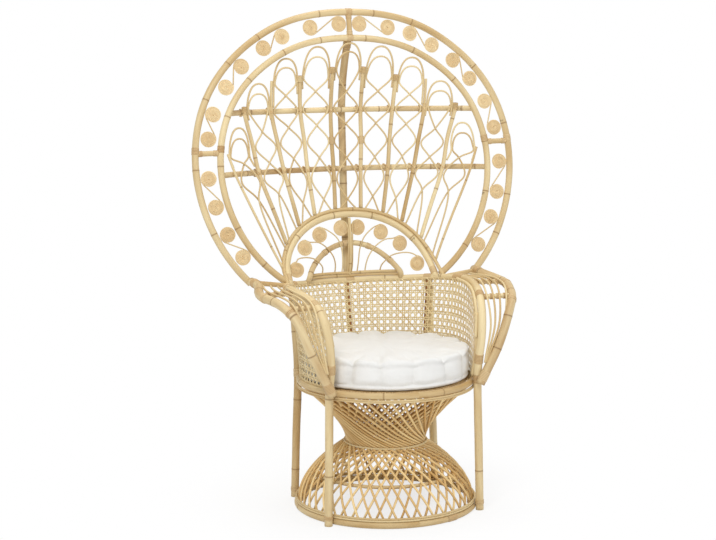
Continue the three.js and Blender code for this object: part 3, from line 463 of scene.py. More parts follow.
def front_leg(side):
    angle = side * radians(55.9)
    lower = [from_front(FOOT + (SEAT - FOOT) * z / SEAT_Z, angle, z) for z in (0.0, 0.2, SEAT_Z)]
    return lower + arm_inner(side) + [on_rail(side)]


def rear_leg(side):
    lower = []
    for z in (0.0, 0.2, SEAT_Z):
        share = z / SEAT_Z
        angle = side * radians(53.8 - 2.1 * share)
        lower.append(from_back(FOOT + (SEAT - FOOT) * share, angle, z))
    return lower + [on_rail(side * REAR_SHARE, RAIL + 0.0032, -0.004)]


def on_back(angle, radius, forward=0.0):
    """A place in the plane of the rings; the angle is 0 at their top."""
    out = CENTRE + UP * radius * cos(angle) + OUT * forward
    return out + RIGHT * radius * sin(angle)


def spline(values, at):
    """The value at a place, from 0 to 1, on the even Catmull-Rom line through the values."""
    t = at * (len(values) - 1)
    i = min(int(t), len(values) - 2)
    w = t - i
    p0 = values[max(i - 1, 0)]
    p1, p2 = values[i], values[i + 1]
    p3 = values[min(i + 2, len(values) - 1)]
    v0, v1 = (p2 - p0) / 2, (p3 - p1) / 2
    return (2 * p1 - 2 * p2 + v0 + v1) * w ** 3 + (-3 * p1 + 3 * p2 - 2 * v0 - v1) * w ** 2 + v0 * w + p1


def ring_radius(top, shares, angle):
    """The radius at an angle from the top, from its shares of the top's radius, each 37.5 degrees on."""
    both = [s * top for s in shares[:0:-1] + shares]
    return spline(both, angle / radians(37.5) / 8 + 0.5)


def outer_radius(angle):
    return ring_radius(OUTER_TOP, [1, 1.0726, 1.1872, 1.2522, 1.2963], angle)


def inner_radius(angle):
    return ring_radius(INNER_TOP, [1, 1.083, 1.2301, 1.3274, 1.3924], angle)


# How far the fan bows back and how wide it is, at shares of its height.
BOW_H, BOW = [0, 0.4595, 0.7095, 0.8378, 0.9189, 1], [1, 0.712, 0.574, 0.366, 0.159, 0]
WIDTH_H = [0, 0.0405, 0.0743, 0.1351, 0.1892, 0.2608, 0.3689, 0.4595, 0.5554, 0.7095, 0.8378, 1]
WIDTH = [0.555, 0.602, 0.663, 0.73, 0.7865, 0.8427, 0.9101, 0.9663, 1, 0.9124, 0.7596, 0.62]


def on_shell(x, z, behind=0.0):
    """A place on the bowed surface of the fan, or behind it."""
    share = (z - FAN_LOW) / FAN_HEIGHT
    half = FAN_HALF * table(WIDTH_H, WIDTH, share)
    bow = 0.1447 * table(BOW_H, BOW, share) * max(0.0, 1 - (x / half) ** 2)
    return np.array([x, BACK_Y + (z - BACK_Z) * math.tan(LEAN) + bow + behind, z])


def up_fan(shares):
    return [FAN_LOW + FAN_HEIGHT * s for s in shares]


def arch_at(angle, grown=0.0):
    """Where the small arch is at an angle from its right foot, across and up."""
    run = cos(angle)
    across = (ARCH_HALF + grown) * math.copysign(abs(run) ** ARCH_ROUND, run)
    return across, ARCH_FOOT + (ARCH_RISE + grown) * sin(angle)


def meet_arch(width_at):
    """The height at which a cane, whose distance from the middle is given, meets the arch's thin band."""
    low, high = ARCH_FOOT, ARCH_FOOT + ARCH_RISE + BAND
    for _ in range(30):
        z = (low + high) / 2
        run = (abs(width_at(z)) / (ARCH_HALF + BAND)) ** (1 / ARCH_ROUND)
        if run ** 2 + ((z - ARCH_FOOT) / (ARCH_RISE + BAND)) ** 2 < 1:
            low = z
        else:
            high = z
    return low


# ---- pedestal


def circle(name, slot, material, node, *hoops):
    """Hoops about the axis, each with its radius, height and thickness. Only poles have nodes."""
    piece = Piece(name, slot, [material, PEEL], [node] if node else [])
    draw = piece.pole if slot == "pole" else piece.tube
    for radius, z, thick in hoops:
        draw(ring_at(radius, z), thick, closed=True)
    return piece


BASE, BASE_Z = 0.269, 0.0102
WAIST_Z, RIM_Z, LOW_Z = 0.2016, 0.3805, 0.0203
WAIST, RIM, BELL = 0.115, 0.252, 0.2614         # the pedestal's radii at those heights

base = circle("base_hoop_pole", "pole", POLE, "base_hoop", (BASE, BASE_Z, 0.01))
for angle in (radians(200), radians(20)):
    arc = ring_at(BASE, BASE_Z, 60, angle, angle + 0.35, closed=False)
    base.wrap(arc, 0.0098, 0.01, 0.034)
base.finish()
circle("base_thin_hoops", "cane", CORE, "base_binding_hoops",
       (0.2726, 0.0235, 0.0031), (0.2722, 0.0296, 0.0031)).finish()
circle("seat_hoop_pole", "pole", POLE, "seat_hoop", (0.26, 0.391, 0.01)).finish()
circle("seat_thin_hoops", "cane", CORE, "seat_binding_hoops",
       (0.2664, 0.3733, 0.0028), (0.2670, 0.3786, 0.0028)).finish()
circle("waist_thin_hoop", "cane", CORE, "waist_hoop", (0.1253, WAIST_Z, 0.003)).finish()


def pedestal_radius(z):
    if z >= WAIST_Z:
        share = (z - WAIST_Z) / (RIM_Z - WAIST_Z)
        return math.sqrt(WAIST ** 2 + share ** 2 * (RIM ** 2 - WAIST ** 2))
    share = (WAIST_Z - z) / (WAIST_Z - LOW_Z)
    return WAIST + (BELL - WAIST) * (1 - (1 - share) ** 1.9)


def twist_rate(z, r):
    """Radians that a cane turns about the axis for each metre down."""
    if z >= WAIST_Z:
        return 0.1467 / r ** 2 * (1 + 0.6 * math.exp(-((z - WAIST_Z) / 0.04) ** 2))
    return 1.77 * (BELL / r) ** 2.7


ABOVE, BELOW, CANES = 29, 34, 44        # steps above and below the waist, canes in a layer
heights = np.concatenate([np.linspace(RIM_Z, WAIST_Z, ABOVE + 1)[:-1], np.linspace(WAIST_Z, LOW_Z, BELOW)])
radii = np.array([pedestal_radius(z) for z in heights])
rate = np.array([twist_rate(z, r) for z, r in zip(heights, radii)])
turns = np.concatenate([[0], np.cumsum((rate[1:] + rate[:-1]) / 2 * -np.diff(heights))])
turns -= turns[ABOVE]


def strands(name, node, side):
    """One layer of the pedestal's canes: the outer one turns with side 1, the inner one with -1."""
    piece = Piece(name, "strand", [STRAND], [node])
    r = radii + side * 0.0037
    for k in range(CANES):
        angle = k * 2 * pi / CANES + side * turns + rng.uniform(-0.004, 0.004)
        piece.tube(np.stack([r * np.sin(angle), -r * np.cos(angle), heights], 1), 0.0035, 8)
    piece.finish()


strands("pedestal_canes_outer", "pedestal_outer_strands", 1)
strands("pedestal_canes_inner", "pedestal_inner_strands", -1)
# A stiffening hoop lies inside the bell, against the inner canes.
circle("pedestal_inner_hoop", "pole", CORE, None, (0.21, 0.108, 0.0055)).finish()

# ---- legs, rail and arms

rail = line([on_rail(s) for s in np.linspace(-1, 1, 17)])
total = run_of(rail)[-1]
wraps = [((share + 1) / 2 * total - 0.014, 0.028) for share in (-REAR_SHARE, REAR_SHARE, 0.0)]
pole_piece("back_rail_pole", "pole", POLE, "back_rail", rail, RAIL_POLE, wraps)
for side_name, side in SIDES:
    path = line(front_leg(side))
    total = run_of(path)[-1]
    wraps = ((0.39, 0.026), (0.452, 0.03), (total - 0.045, 0.045), (0.665, 0.02), (0.018, 0.012))
    name = f"front_leg_{side_name}"
    pole_piece(name + "_pole", "pole", POLE, name, path, LEG, wraps, sides=16)
    path = line(rear_leg(side))
    wraps = ((0.378, 0.026), (0.616, 0.02), (0.018, 0.012))
    name = f"rear_leg_{side_name}"
    pole_piece(name + "_pole", "pole", POLE, name, path, LEG, wraps, sides=16)
    path = soften(line(arm_outer(side)))
    wraps = ((0.012, 0.03), (0.27, 0.014), (0.40, 0.014), (run_of(path)[-1] - 0.05, 0.03))
    pole_piece(f"arm_outer_{side_name}_pole", "pole", BARK, f"arm_outer_pole_{side_name}", path, 0.0136, wraps,
               0.0134, sides=16, gap=(0.07, 0.13))


def nearest_y(path, y):
    """The point of an arm pole, over its upper part, that is nearest to a depth."""
    part = path[int(len(path) * 0.4):]
    return part[np.argmin(np.abs(part[:, 1] - y))]


def arm_bars(side):
    """The ends of the three short bars between the inner and the outer pole, from the back one on."""
    inner = line(arm_inner(side) + [on_rail(side * 0.8)])
    outer = line(arm_outer(side))
    depths = [ARM_FRONT * s for s in (0.86, 0.0, -0.72)]
    return [(nearest_y(inner, y), nearest_y(outer, y)) for y in depths]


for side_name, side in SIDES:
    web = Piece(f"arm_web_{side_name}_canes", "cane", [CORE, PEEL, POLE], [f"arm_web_{side_name}"])
    bars = arm_bars(side)
    for inner, outer in bars:
        web.pole([inner, (inner + outer) / 2, outer], 0.0075, mat=2, sides=12, gap=(0.05, 0.09))
    joint = np.array([side * 0.25088, -ARM_FRONT * 0.985, 0.464])      # where the web's canes come together
    for share in (0.16, 0.36, 0.56, 0.78):
        over = [inner + (outer - inner) * share + np.array([0, 0, 0.0098]) for inner, outer in bars]
        bend = over[2] + (joint - over[2]) * 0.45
        bend[0] = over[2][0] + (joint[0] - over[2][0]) * 0.3
        bend[1] = -ARM_FRONT * 0.97
        over[2] = over[2] - np.array([0, 0.0075, 0])
        over[0] = over[0] - np.array([0, 0.0098, 0.0130])
        away = np.array([side * (share - 0.5) * 0.012, -0.002, -0.01])
        web.tube(line(over + [bend, joint + away], 0.006), 0.0031, 8)
        for inner, outer in bars[1:]:
            spot = inner + (outer - inner) * share
            across = (outer - inner) / np.linalg.norm(outer - inner)
            web.wrap([spot - across * 0.006, spot, spot + across * 0.006], 0.0082, 0.0, 0.012, cane=0.003)
    web.finish()

# ---- back rings, struts and scrolls


def ring_line(radius_at, end, onward=0.0):
    """A ring from one end to the other, in degrees from the top, and straight onward at both."""
    w = np.radians(np.linspace(-end, end, 221))
    points = [on_back(a, radius_at(a)) for a in w]
    if onward:
        first, last = points[0] - points[1], points[-1] - points[-2]
        points.insert(0, points[0] + first / np.linalg.norm(first) * onward)
        points.append(points[-1] + last / np.linalg.norm(last) * onward)
    return even(np.array(points), 0.011)


# Each ring's peel lies at its struts, which are that far to the left and the right of its middle.
for name, path, radius, left, right in (
        ("outer", ring_line(outer_radius, 137.5), RING_POLE, 0.735, 0.7205),
        ("inner", ring_line(inner_radius, 145.3, 0.022), RAIL_POLE, 0.604, 0.5925)):
    half = run_of(path)[-1] / 2
    wraps = [(where - 0.011, 0.022) for where in (half - left, half, half + right)]
    pole_piece(f"back_{name}_ring_pole", "wrapped", POLE, f"back_{name}_ring", path, radius, wraps,
               gap=(0.12, 0.26))
for name, degrees in (("top", 0), ("right", 88.9), ("left", -90.5)):
    a = radians(degrees)
    low, high = on_back(a, inner_radius(a) + 0.004), on_back(a, outer_radius(a) - 0.004)
    span = float(np.linalg.norm(high - low))
    pole_piece(f"ring_strut_{name}_pole", "wrapped", POLE, f"ring_strut_{name}", [low, (low + high) / 2, high],
               0.0084, ((0.006, 0.012), (span - 0.018, 0.012)), gap=(0.03, 0.05))

# The coils' places in degrees from the top: a pair is one cane wound up at both its ends.
PAIRS = {
    "left": ((5.1, 18.7), (32.5, 42.0), (54.2, 64.4), (76.0, 85.2), (99.6, 109.8), (120.3, 129.6)),
    "right": ((5.1, 18.7), (29.6, 40.5), (51.8, 61.9), (72.8, 83.4), (96.7, 108.0), (117.9, 129.1)),
}
COIL_RADIUS, COIL_CANE, TAIL_CANE = 0.0264, 0.0036, 0.0021
COIL_EDGE = COIL_RADIUS - COIL_CANE * 0.5       # where the cane leaves the coil


def add_coil(piece, centre, right, up, start, sign):
    """A flat coil, one cane wound from the middle out to the start angle, on a darker backing that is painted
    shade: it shows as dark lines between the turns."""
    turns = COIL_RADIUS / COIL_CANE - 0.6
    count = int(turns * 30)
    coil = []
    for i in range(count + 1):
        share = i / count
        r = COIL_CANE * 0.6 + (COIL_RADIUS - COIL_CANE * 1.1) * share
        w = start - sign * 2 * pi * turns * (1 - share)
        lift = 0.0008 * sin(w * 2.0 + share * 5)
        coil.append(centre + right * r * cos(w) + up * r * sin(w) + OUT * lift)
    piece.tube(coil, COIL_CANE * 0.46, 7, up=OUT)
    # The backing disc, painted shade behind the turns.
    piece.tube([centre + OUT * 0.0004, centre - OUT * 0.0006], COIL_RADIUS - COIL_CANE, 28, mat=2)
    piece.tube([centre - OUT * 0.001, centre + OUT * 0.0022], COIL_CANE * 0.55, 8)


for side_name, side in SIDES:
    for i, pair in enumerate(PAIRS[side_name]):
        name = f"ring_scroll_{side_name}_{i + 1}"
        piece = Piece(name + "_canes", "cane", [COIL, CORE, GAP_SHADE], [name])
        spots = []
        for degrees in pair:
            a = side * radians(degrees)
            centre = on_back(a, outer_radius(a) - 0.01075 - COIL_RADIUS)
            along, outward = cos(a) * RIGHT - sin(a) * UP, cos(a) * UP + sin(a) * RIGHT
            spots.append((centre, along, outward))
        apart = float(np.linalg.norm(spots[1][0] - spots[0][0]))
        lean = math.acos(2 * COIL_RADIUS / apart)
        leave = lean if side > 0 else pi - lean
        tangent = []
        for (centre, along, outward), start in zip(spots, (leave, leave + pi)):
            add_coil(piece, centre, along, outward, start, -side)
            tangent.append(centre + (along * cos(start) + outward * sin(start)) * COIL_EDGE)
        link = [tangent[0], (tangent[0] + tangent[1]) / 2, tangent[1]]
        piece.tube(line(link, 0.006), TAIL_CANE, 7, mat=1)
        piece.finish()

# ---- small arch


def rail_share(x):
    """The share of the rail at a distance from its middle."""
    return math.asin(x / RAIL) / RAIL_END


def arch_path(grown, foot, lift):
    """Along the small arch, or outside it, between its two feet on the rail."""
    share = rail_share(ARCH_HALF + foot)
    w = np.linspace(radians(12), radians(168), 61)
    points = [on_shell(*arch_at(a, grown)) for a in w]
    return even(line([on_rail(share, RAIL, lift)] + points + [on_rail(-share, RAIL, lift)]), 0.009)


path = arch_path(0.0, 0.0, 0.0)
wraps = [(start, 0.026) for start in (0.012, run_of(path)[-1] - 0.038)]
pole_piece("small_arch_pole", "pole", POLE, "small_arch_hoop", path, HOOP_POLE, wraps, 0.0101, gap=(0.12, 0.24))
path = arch_path(BAND - 0.0008, 0.0145, 0.004)
pole_piece("small_arch_thin_pole", "pole", CORE, "small_arch_band", path, 0.0058, sides=12)

# ---- fan: rods, bars, post and loops

ROD_Z = up_fan((0.15, 0.2919, 0.4595, 0.5811, 0.7095))
RODS = (        # a rod's place across at its top, its top, and the shares of that place at ROD_Z and the top
    (0.051, 1.320, [0.804, 0.843, 0.892, 0.971, 0.98, 1]),
    (0.160, 1.295, [0.644, 0.731, 0.841, 0.891, 0.9625, 1]),
    (0.256, 1.280, [0.612, 0.719, 0.846, 0.92, 0.994, 1]),
    (0.350, 1.204, [0.633, 0.743, 0.874, 0.927, 0.997, 1]),
)
THIN_FROM = 1.201       # above this height the third rod is only a thin cane
BARS = (("lower", 1.0), ("upper", 1.185))
BEHIND = 0.017          # the bars' distance behind the rods


def below_too(stops, values, z):
    """The table's value, and below its first stop in the same slope."""
    extra = min(0.0, z - stops[0]) * (values[1] - values[0]) / (stops[1] - stops[0])
    return table(stops, values, z) + extra


def rod_x(rod, z):
    return rod[0] * below_too(ROD_Z + [rod[1]], rod[2], z)


rod_paths = []
for i, rod in enumerate(RODS):
    for side_name, side in SIDES:
        foot = meet_arch(lambda z: rod_x(rod, z)) + 0.0045
        stops = [foot] + [z for z in ROD_Z + [rod[1]] if z > foot + 0.006]
        path = line([on_shell(side * rod_x(rod, z), z) for z in stops])
        rod_paths.append(path)
        run = run_of(path)
        top = run[-1]
        thick = float(np.interp(THIN_FROM, path[:, 2], run)) if i == 2 else top - 0.003
        name = f"fan_rod_{side_name}_{i + 1}"
        piece = Piece(name + "_pole", "wrapped", [POLE, PEEL, CORE], [name])
        points = np.array([place(path, run, s) for s in np.linspace(0, thick, 40)])
        piece.pole(points, 0.0066, sides=12, gap=(0.13, 0.25))
        if i == 2:
            points = [place(path, run, s) for s in (thick - 0.01, (thick + top) / 2, top)]
            piece.tube(line(points), 0.0042, 9, mat=2)
        else:
            points = [place(path, run, top - d) for d in (0.019, 0.010, 0.0)]
            piece.wrap(line(points, 0.004), 0.0086 if i < 2 else 0.0076, 0.0, 0.018, mat=2, cane=0.0036)
        if i == 0:
            at = np.interp(1.09, path[:, 2], run)
            piece.wrap(path, 0.0078, at - 0.012, 0.024, cane=0.0034)
        piece.finish()


def ring_half(z):
    """Half the inner ring's width at a height."""
    along = (z - BACK_Z) / cos(LEAN)
    a = pi / 2
    for _ in range(12):
        a = math.acos(along / inner_radius(a))
    return inner_radius(a) * sin(a)


for name, z in BARS:        # each bar bends forward at its ends to meet the inner ring
    half = ring_half(z)
    points = [on_shell(x, z, BEHIND) for x in np.linspace(0.035 - half, half - 0.035, 25)]
    points = [on_shell(-half, z, 0.005)] + points + [on_shell(half, z, 0.005)]
    pole_piece(f"fan_bar_{name}_pole", "wrapped", BARK, f"fan_bar_{name}", even(line(points), 0.01), 0.0088,
               gap=(0.10, 0.2))
foot_y = RAIL_DEPTH + RAIL + 0.01 + LEG
top = on_back(0, INNER_TOP, -RAIL_POLE - LEG)
points = [np.array([0, foot_y, 0.636]), np.array([0, foot_y, 0.656])]
points += [on_shell(0, z, BEHIND + 0.0208) for z in up_fan((0.3216, 0.4595, 0.5946, 0.7095, 0.8378, 0.919))]
path = line(points + [top, top + UP * 0.012])
pole_piece("back_post_pole", "wrapped", BARK, "back_post", path, 0.0118, ((run_of(path)[-1] - 0.04, 0.022),),
           sides=16, gap=(0.09, 0.18))

RIM_Z_STOPS = up_fan((0.1419, 0.2608, 0.3689, 0.4527, 0.5446))
RIM_W = [0.629, 0.7236, 0.809, 0.8719, 0.9258]


def rim_x(z):
    """How far from the middle the fan's outermost cane is at a height."""
    return FAN_HALF * below_too(RIM_Z_STOPS, RIM_W, z)


LOOPS = (       # gap between rods, tops of the outer and the inner cane, heights at which the inner one crosses
    (0, 1.394, 1.367, [1.2435, 1.140, 1.036, 0.903]),
    (1, 1.383, 1.352, [1.2435, 1.140, 1.036, 0.908]),
    (2, 1.3475, 1.320, [1.2325, 1.136, 1.036, 0.900]),
    (3, 1.2725, 1.2415, [1.124, 1.030, 0.930]),
    (4, 1.140, 1.1075, [1.030, 0.920]),
)
CANE = 0.0030
BESIDE, BESIDE_THIN = 0.0093, 0.0074        # from a rod's line to the cane at its side
SQUARED = 0.86      # below 1, the top of a loop is fuller than a circle


def loop_piece(node, gap, arch_top, cane_top, crossings, side):
    """A double loop between two rods: the outer cane ends beside them, the inner one's legs cross each other
    on their way down to the arch."""
    if gap == 0:
        left, right = (lambda z: -rod_x(RODS[0], z)), (lambda z: rod_x(RODS[0], z))
    else:
        left = lambda z: rod_x(RODS[gap - 1], z)
        right = (lambda z: rod_x(RODS[gap], z)) if gap < 4 else rim_x
    tops = [RODS[max(gap - 1, 0)][1], RODS[gap][1] if gap < 4 else RIM_Z_STOPS[-1]]
    start = min(tops) - 0.012
    beside = BESIDE_THIN if gap == 3 else BESIDE
    beside_outer = {2: BESIDE_THIN, 4: 0.002}.get(gap, BESIDE)
    lead = (arch_top - start) / 2 if gap == 4 else 0.0

    def at(x, z, behind=0.0):
        return on_shell(side * x, z, behind)

    def span(z, inset):
        return left(z + lead) + beside + inset, right(z) - beside_outer - inset

    def over(inset, top, behind):
        low, high = span(start, inset)
        half = (high - low) / 2
        out = []
        for w in np.linspace(0, pi, 13):
            run = math.copysign(abs(cos(w)) ** SQUARED, cos(w))
            rise = (top - start) * sin(w) ** SQUARED
            out.append(at((low + high) / 2 - half * run, start + rise, behind))
        return out

    piece = Piece(node + "_canes", "cane", [CORE, PEEL], [node])
    low = start - 0.030
    low_right = 1.198 if gap == 2 else low
    feet = [at(left(low) + beside, low), at(right(low_right) - beside_outer, low_right)]
    piece.tube(line([feet[0]] + over(0, arch_top, 0) + [feet[1]], 0.007), CANE, 8)

    def leg(sign):
        behind = -0.0046 if sign > 0 else 0.0014
        points = []
        for i, z in enumerate(crossings):
            points.append(at((left(z) + right(z)) / 2, z, behind))
            turned = -sign if i % 2 == 0 else sign
            if i + 1 < len(crossings):
                wide = (z + crossings[i + 1]) / 2
                reach = (right(wide) - left(wide)) / 2 - 0.006 - CANE - 0.0004
                points.append(at((left(wide) + right(wide)) / 2 + turned * reach, wide, behind * 0.6))
            else:
                width = lambda h: (left(h) + right(h)) / 2 + turned * 0.6 * (right(h) - left(h)) / 2
                foot = meet_arch(width)
                points.append(at(width(foot), foot + 0.003, 0))
        return points

    both = leg(-1)[::-1] + over(0.0045, cane_top, -0.0005) + leg(1)
    piece.tube(line(both, 0.007), CANE * 0.92, 8)
    if gap == 4:
        foot = meet_arch(rim_x)
        points = [foot + 0.003] + [z for z in RIM_Z_STOPS if z > foot + 0.006]
        piece.pole([at(rim_x(z), z) for z in points], 0.0040, sides=10)
    piece.finish()


loop_piece("fan_loop_centre", *LOOPS[0], 1)
for loop in LOOPS[1:]:
    for side_name, side in SIDES:
        loop_piece(f"fan_loop_{side_name}_{loop[0]}", *loop, side)

# Peel ties where the rods cross the bars, an X in front and turns round the bar behind.
ties = Piece("fan_ties", "wrapped", [PEEL, CORE])
for path in rod_paths:
    for _, z in BARS:
        run = run_of(path)
        spot = place(path, run, np.interp(z, path[:, 2], run))
        for sx in (-1, 1):
            tie = [(sx * 0.010, BEHIND + 0.0105, 0.002), (sx * 0.0098, BEHIND - 0.002, 0.0112), (0, -0.0078, 0),
                   (-sx * 0.0098, BEHIND - 0.002, -0.0112), (-sx * 0.010, BEHIND + 0.0105, -0.002)]
            ties.tube(line(spot + np.array(tie), 0.003), 0.0019, 6)
ties.finish()

# ---- scrollwork under the small arch


def scroll_surface(x, z, forward=0.008):
    return on_shell(x, z, -forward)


INNER_ARCH = 0.156      # half its width
foot_share = rail_share(INNER_ARCH)
arch_base = rail_height(foot_share) + 0.010
work = Piece("arch_scrollwork_canes", "cane", [COIL, CORE, GAP_SHADE, BARK, PEEL], ["arch_scrollwork"])
points = [scroll_surface(INNER_ARCH * cos(w), arch_base + 0.106 * sin(w) ** 1.5)
          for w in np.linspace(0.22, pi - 0.22, 17)]
inner_arch = line([on_rail(foot_share)] + points + [on_rail(-foot_share)], 0.006)
work.pole(inner_arch, 0.0088, mat=3, gap=(0.028, 0.065))
for start in (0.07, 0.155, 0.235, 0.31):
    work.wrap(inner_arch, 0.0090, start, 0.012, mat=4)
SILL_LIFT = 0.015
for lift, shrink in ((0.0, 0.995), (0.0092, 0.93)):
    path = line([on_rail(s * foot_share * shrink, RAIL, SILL_LIFT + lift) for s in np.linspace(-1, 1, 9)])
    work.pole(path, 0.0046, sides=10, mat=1)
spots = ((ARCH_FOOT + 0.1794, 0.010), (0.78, 0.019), (0.72, 0.018))
points = [scroll_surface(0, z, forward) for z, forward in spots]
work.pole(line(points + [on_rail(0, RAIL, SILL_LIFT)]), 0.0047, sides=10, mat=1)
TAILS = (       # the points, across and up, through which each coil's tail runs down to the sill
    ((0.013, 0.832), (0.0078, 0.815), (0.0072, 0.70)),
    ((0.080, 0.8125), (0.046, 0.785), (0.031, 0.750), (0.026, 0.700)),
    ((0.140, 0.777), (0.112, 0.775), (0.083, 0.756), (0.060, 0.726), (0.052, 0.700)),
    ((0.188, 0.731), (0.160, 0.733), (0.128, 0.724), (0.109, 0.708), (0.099, 0.694)),
)
for side_name, side in SIDES:
    for i, (angle, tail) in enumerate(zip((0.104, 0.470, 0.850, 1.336), TAILS)):
        x, z = arch_at(pi / 2 - angle)
        reach = HOOP_POLE + COIL_RADIUS + (0.005 if i < 3 else 0.0)
        slope = math.atan2(sin(angle) / ARCH_HALF, cos(angle) / ARCH_RISE)
        x, z = x - reach * sin(slope), z - reach * cos(slope)
        centre = scroll_surface(side * x, z)
        add_coil(work, centre, RIGHT * side, UP, pi / 2, 1)
        points = [centre + UP * COIL_EDGE]
        for k, (tx, tz) in enumerate(tail):
            points.append(scroll_surface(side * tx, tz, 0.009 if k == 0 else 0.0185 if tz > 0.70 else 0.012))
        points.append(on_rail(rail_share(points[-1][0] * 0.97), RAIL + 0.002, 0.024))
        work.tube(line(points, 0.006), TAIL_CANE, 7, mat=1)
work.finish()

# ---- cane panel


def inward(p, inset):
    """The place moved toward the rail's centre."""
    across = math.hypot(p[0], p[1] - RAIL_DEPTH)
    share = (across - inset) / across
    return np.array([p[0] * share, RAIL_DEPTH + (p[1] - RAIL_DEPTH) * share, p[2]])


hem = [inward(on_rail(s), 0.0118) for s in (0, 0.25, 0.5, 0.75, 0.95)]
hem = line(hem + [inward(p, 0.0215) for p in arm_inner(1)[2:][::-1]], 0.004)      # the panel's right top edge
hem_run = run_of(hem)
COLUMNS, ROWS = 29, 12


def on_panel(u, v, outward=0.0):
    """A place on the panel: u runs from -COLUMNS to COLUMNS round it, v from 0 to ROWS up it."""
    side = -1 if u < 0 else 1
    share = min(abs(u) / COLUMNS, 1.0)
    top = place(hem, hem_run, share * hem_run[-1])
    low = from_back(0.2585, radians(120) * share, 0.4013)
    up = v / ROWS
    p = low + (top - low) * up
    p[1] -= 0.020 * share ** 6 * sin(pi * up)
    across = math.hypot(p[0], p[1])
    return np.array([side * p[0] * (1 + outward / across), p[1] * (1 + outward / across), p[2]])


def ribbon(piece, pts, width, thick, mat=0):
    """A flat strip along points on the panel, given by halves of its width and thickness. Its broad side
    faces the axis."""
    pts = np.array(pts)
    t = np.gradient(pts, axis=0)
    t /= np.linalg.norm(t, axis=1)[:, None] + 1e-12
    n = pts * np.array([1, 1, 0])
    n /= np.linalg.norm(n, axis=1)[:, None]
    n -= t * (t * n).sum(1)[:, None]
    n /= np.linalg.norm(n, axis=1)[:, None]
    s = np.cross(n, t)
    section = ((1, 0.3), (0.6, 1), (-0.6, 1), (-1, 0.3), (-1, -0.6), (1, -0.6))
    ring = [s * width * x + n * thick * y for x, y in section]
    k = len(ring)
    verts = (pts[:, None] + np.stack(ring, 1)).reshape(-1, 3)
    tint = rng.random()
    run = run_of(pts) + tint * UV_SPREAD
    faces, uvs = [], []
    for i in range(len(pts) - 1):
        for j in range(k):
            m = (j + 1) % k
            faces.append([i * k + j, i * k + m, (i + 1) * k + m, (i + 1) * k + j])
            v0, v1 = width * j * 0.7, width * (j + 1) * 0.7
            uvs += [(run[i], v0), (run[i], v1), (run[i + 1], v1), (run[i + 1], v0)]
    faces += [list(range(k))[::-1], [(len(pts) - 1) * k + j for j in range(k)]]
    uvs += [(run[0], 0)] * k + [(run[-1], 0)] * k
    piece.add(verts, faces, uvs, tint, 0.0, mat)


panel = Piece("cane_panel_weave", "weave", [WEBBING, SHADED_STILE, CORE], ["cane_panel"])
PAIR, WEAVE = 0.165, 0.0004         # half the space between the strips of a pair, how far they weave
rows, columns = np.linspace(0, ROWS, 2 * ROWS + 1), np.linspace(-COLUMNS, COLUMNS, 4 * COLUMNS + 1)
for k in range(-COLUMNS, COLUMNS + 1):          # pairs that run up
    for u in (k - PAIR, k + PAIR):
        if abs(u) <= COLUMNS:
            pts = [on_panel(u, v, WEAVE * cos(pi * (v + k))) for v in rows]
            ribbon(panel, pts, 0.0018, 0.00035)
for k in range(ROWS + 1):                       # pairs that run round
    for v in (k - PAIR, k + PAIR):
        if 0 <= v <= ROWS:
            pts = [on_panel(u, v, -WEAVE * cos(pi * (u + k))) for u in columns]
            ribbon(panel, pts, 0.0018, 0.00035)
for sign, lift in ((1, 0.0010), (-1, -0.0010)):     # single strips both ways aslant
    for k in range(-COLUMNS - ROWS, COLUMNS + ROWS + 1):
        u = k + 0.5 + sign * (rows - ROWS / 2)
        pts = [on_panel(a, b, lift) for a, b in zip(u, rows) if abs(a) <= COLUMNS]
        if len(pts) > 2:
            ribbon(panel, pts, 0.0016, 0.00030)
for u in (-11.6, -0.5, 11.6):                   # stiles behind the weave, darker as painted shade
    stile = line([on_panel(u, v, 0.0094) for v in np.linspace(0.15, ROWS - 0.3, 7)])
    panel.pole(stile, 0.0074, mat=1, sides=10, gap=(0.05, 0.09))
for _, side in SIDES:                           # a lacing cane along each arm pole
    lace = line([inward(p, 0.0173) for p in arm_inner(1)[1:]], 0.006)
    panel.tube(lace * np.array([side, 1, 1]), 0.0046, 9, mat=2)
for u in (-COLUMNS, COLUMNS):                   # border strips at the sides, the top and the foot
    ribbon(panel, [on_panel(u, v) for v in np.linspace(0, ROWS, 17)], 0.0060, 0.0012, mat=2)
for v in (ROWS - 0.12, 0.12):
    ribbon(panel, [on_panel(u, v) for u in np.linspace(-COLUMNS, COLUMNS, 91)], 0.0036, 0.0011, mat=2)
for _, side in SIDES:                           # a roll that fills the gap to the front leg
    leg = line(front_leg(side))
    centres, thick = [], []
    for v in np.linspace(0.4, ROWS, 25):
        edge = on_panel(side * COLUMNS, v)
        pole_at = leg[np.argmin(np.abs(leg[:, 2] - edge[2]))]
        toward = (pole_at - edge) * np.array([1, 1, 0])
        gap = max(0.002, float(np.linalg.norm(toward)) - LEG)
        centres.append(edge + toward / np.linalg.norm(toward) * gap / 2)
        thick.append(min(0.008, gap / 2 + 0.0008))
    panel.tube(np.array(centres), np.array(thick), 10, mat=2)
panel.finish()

# ---- cushion

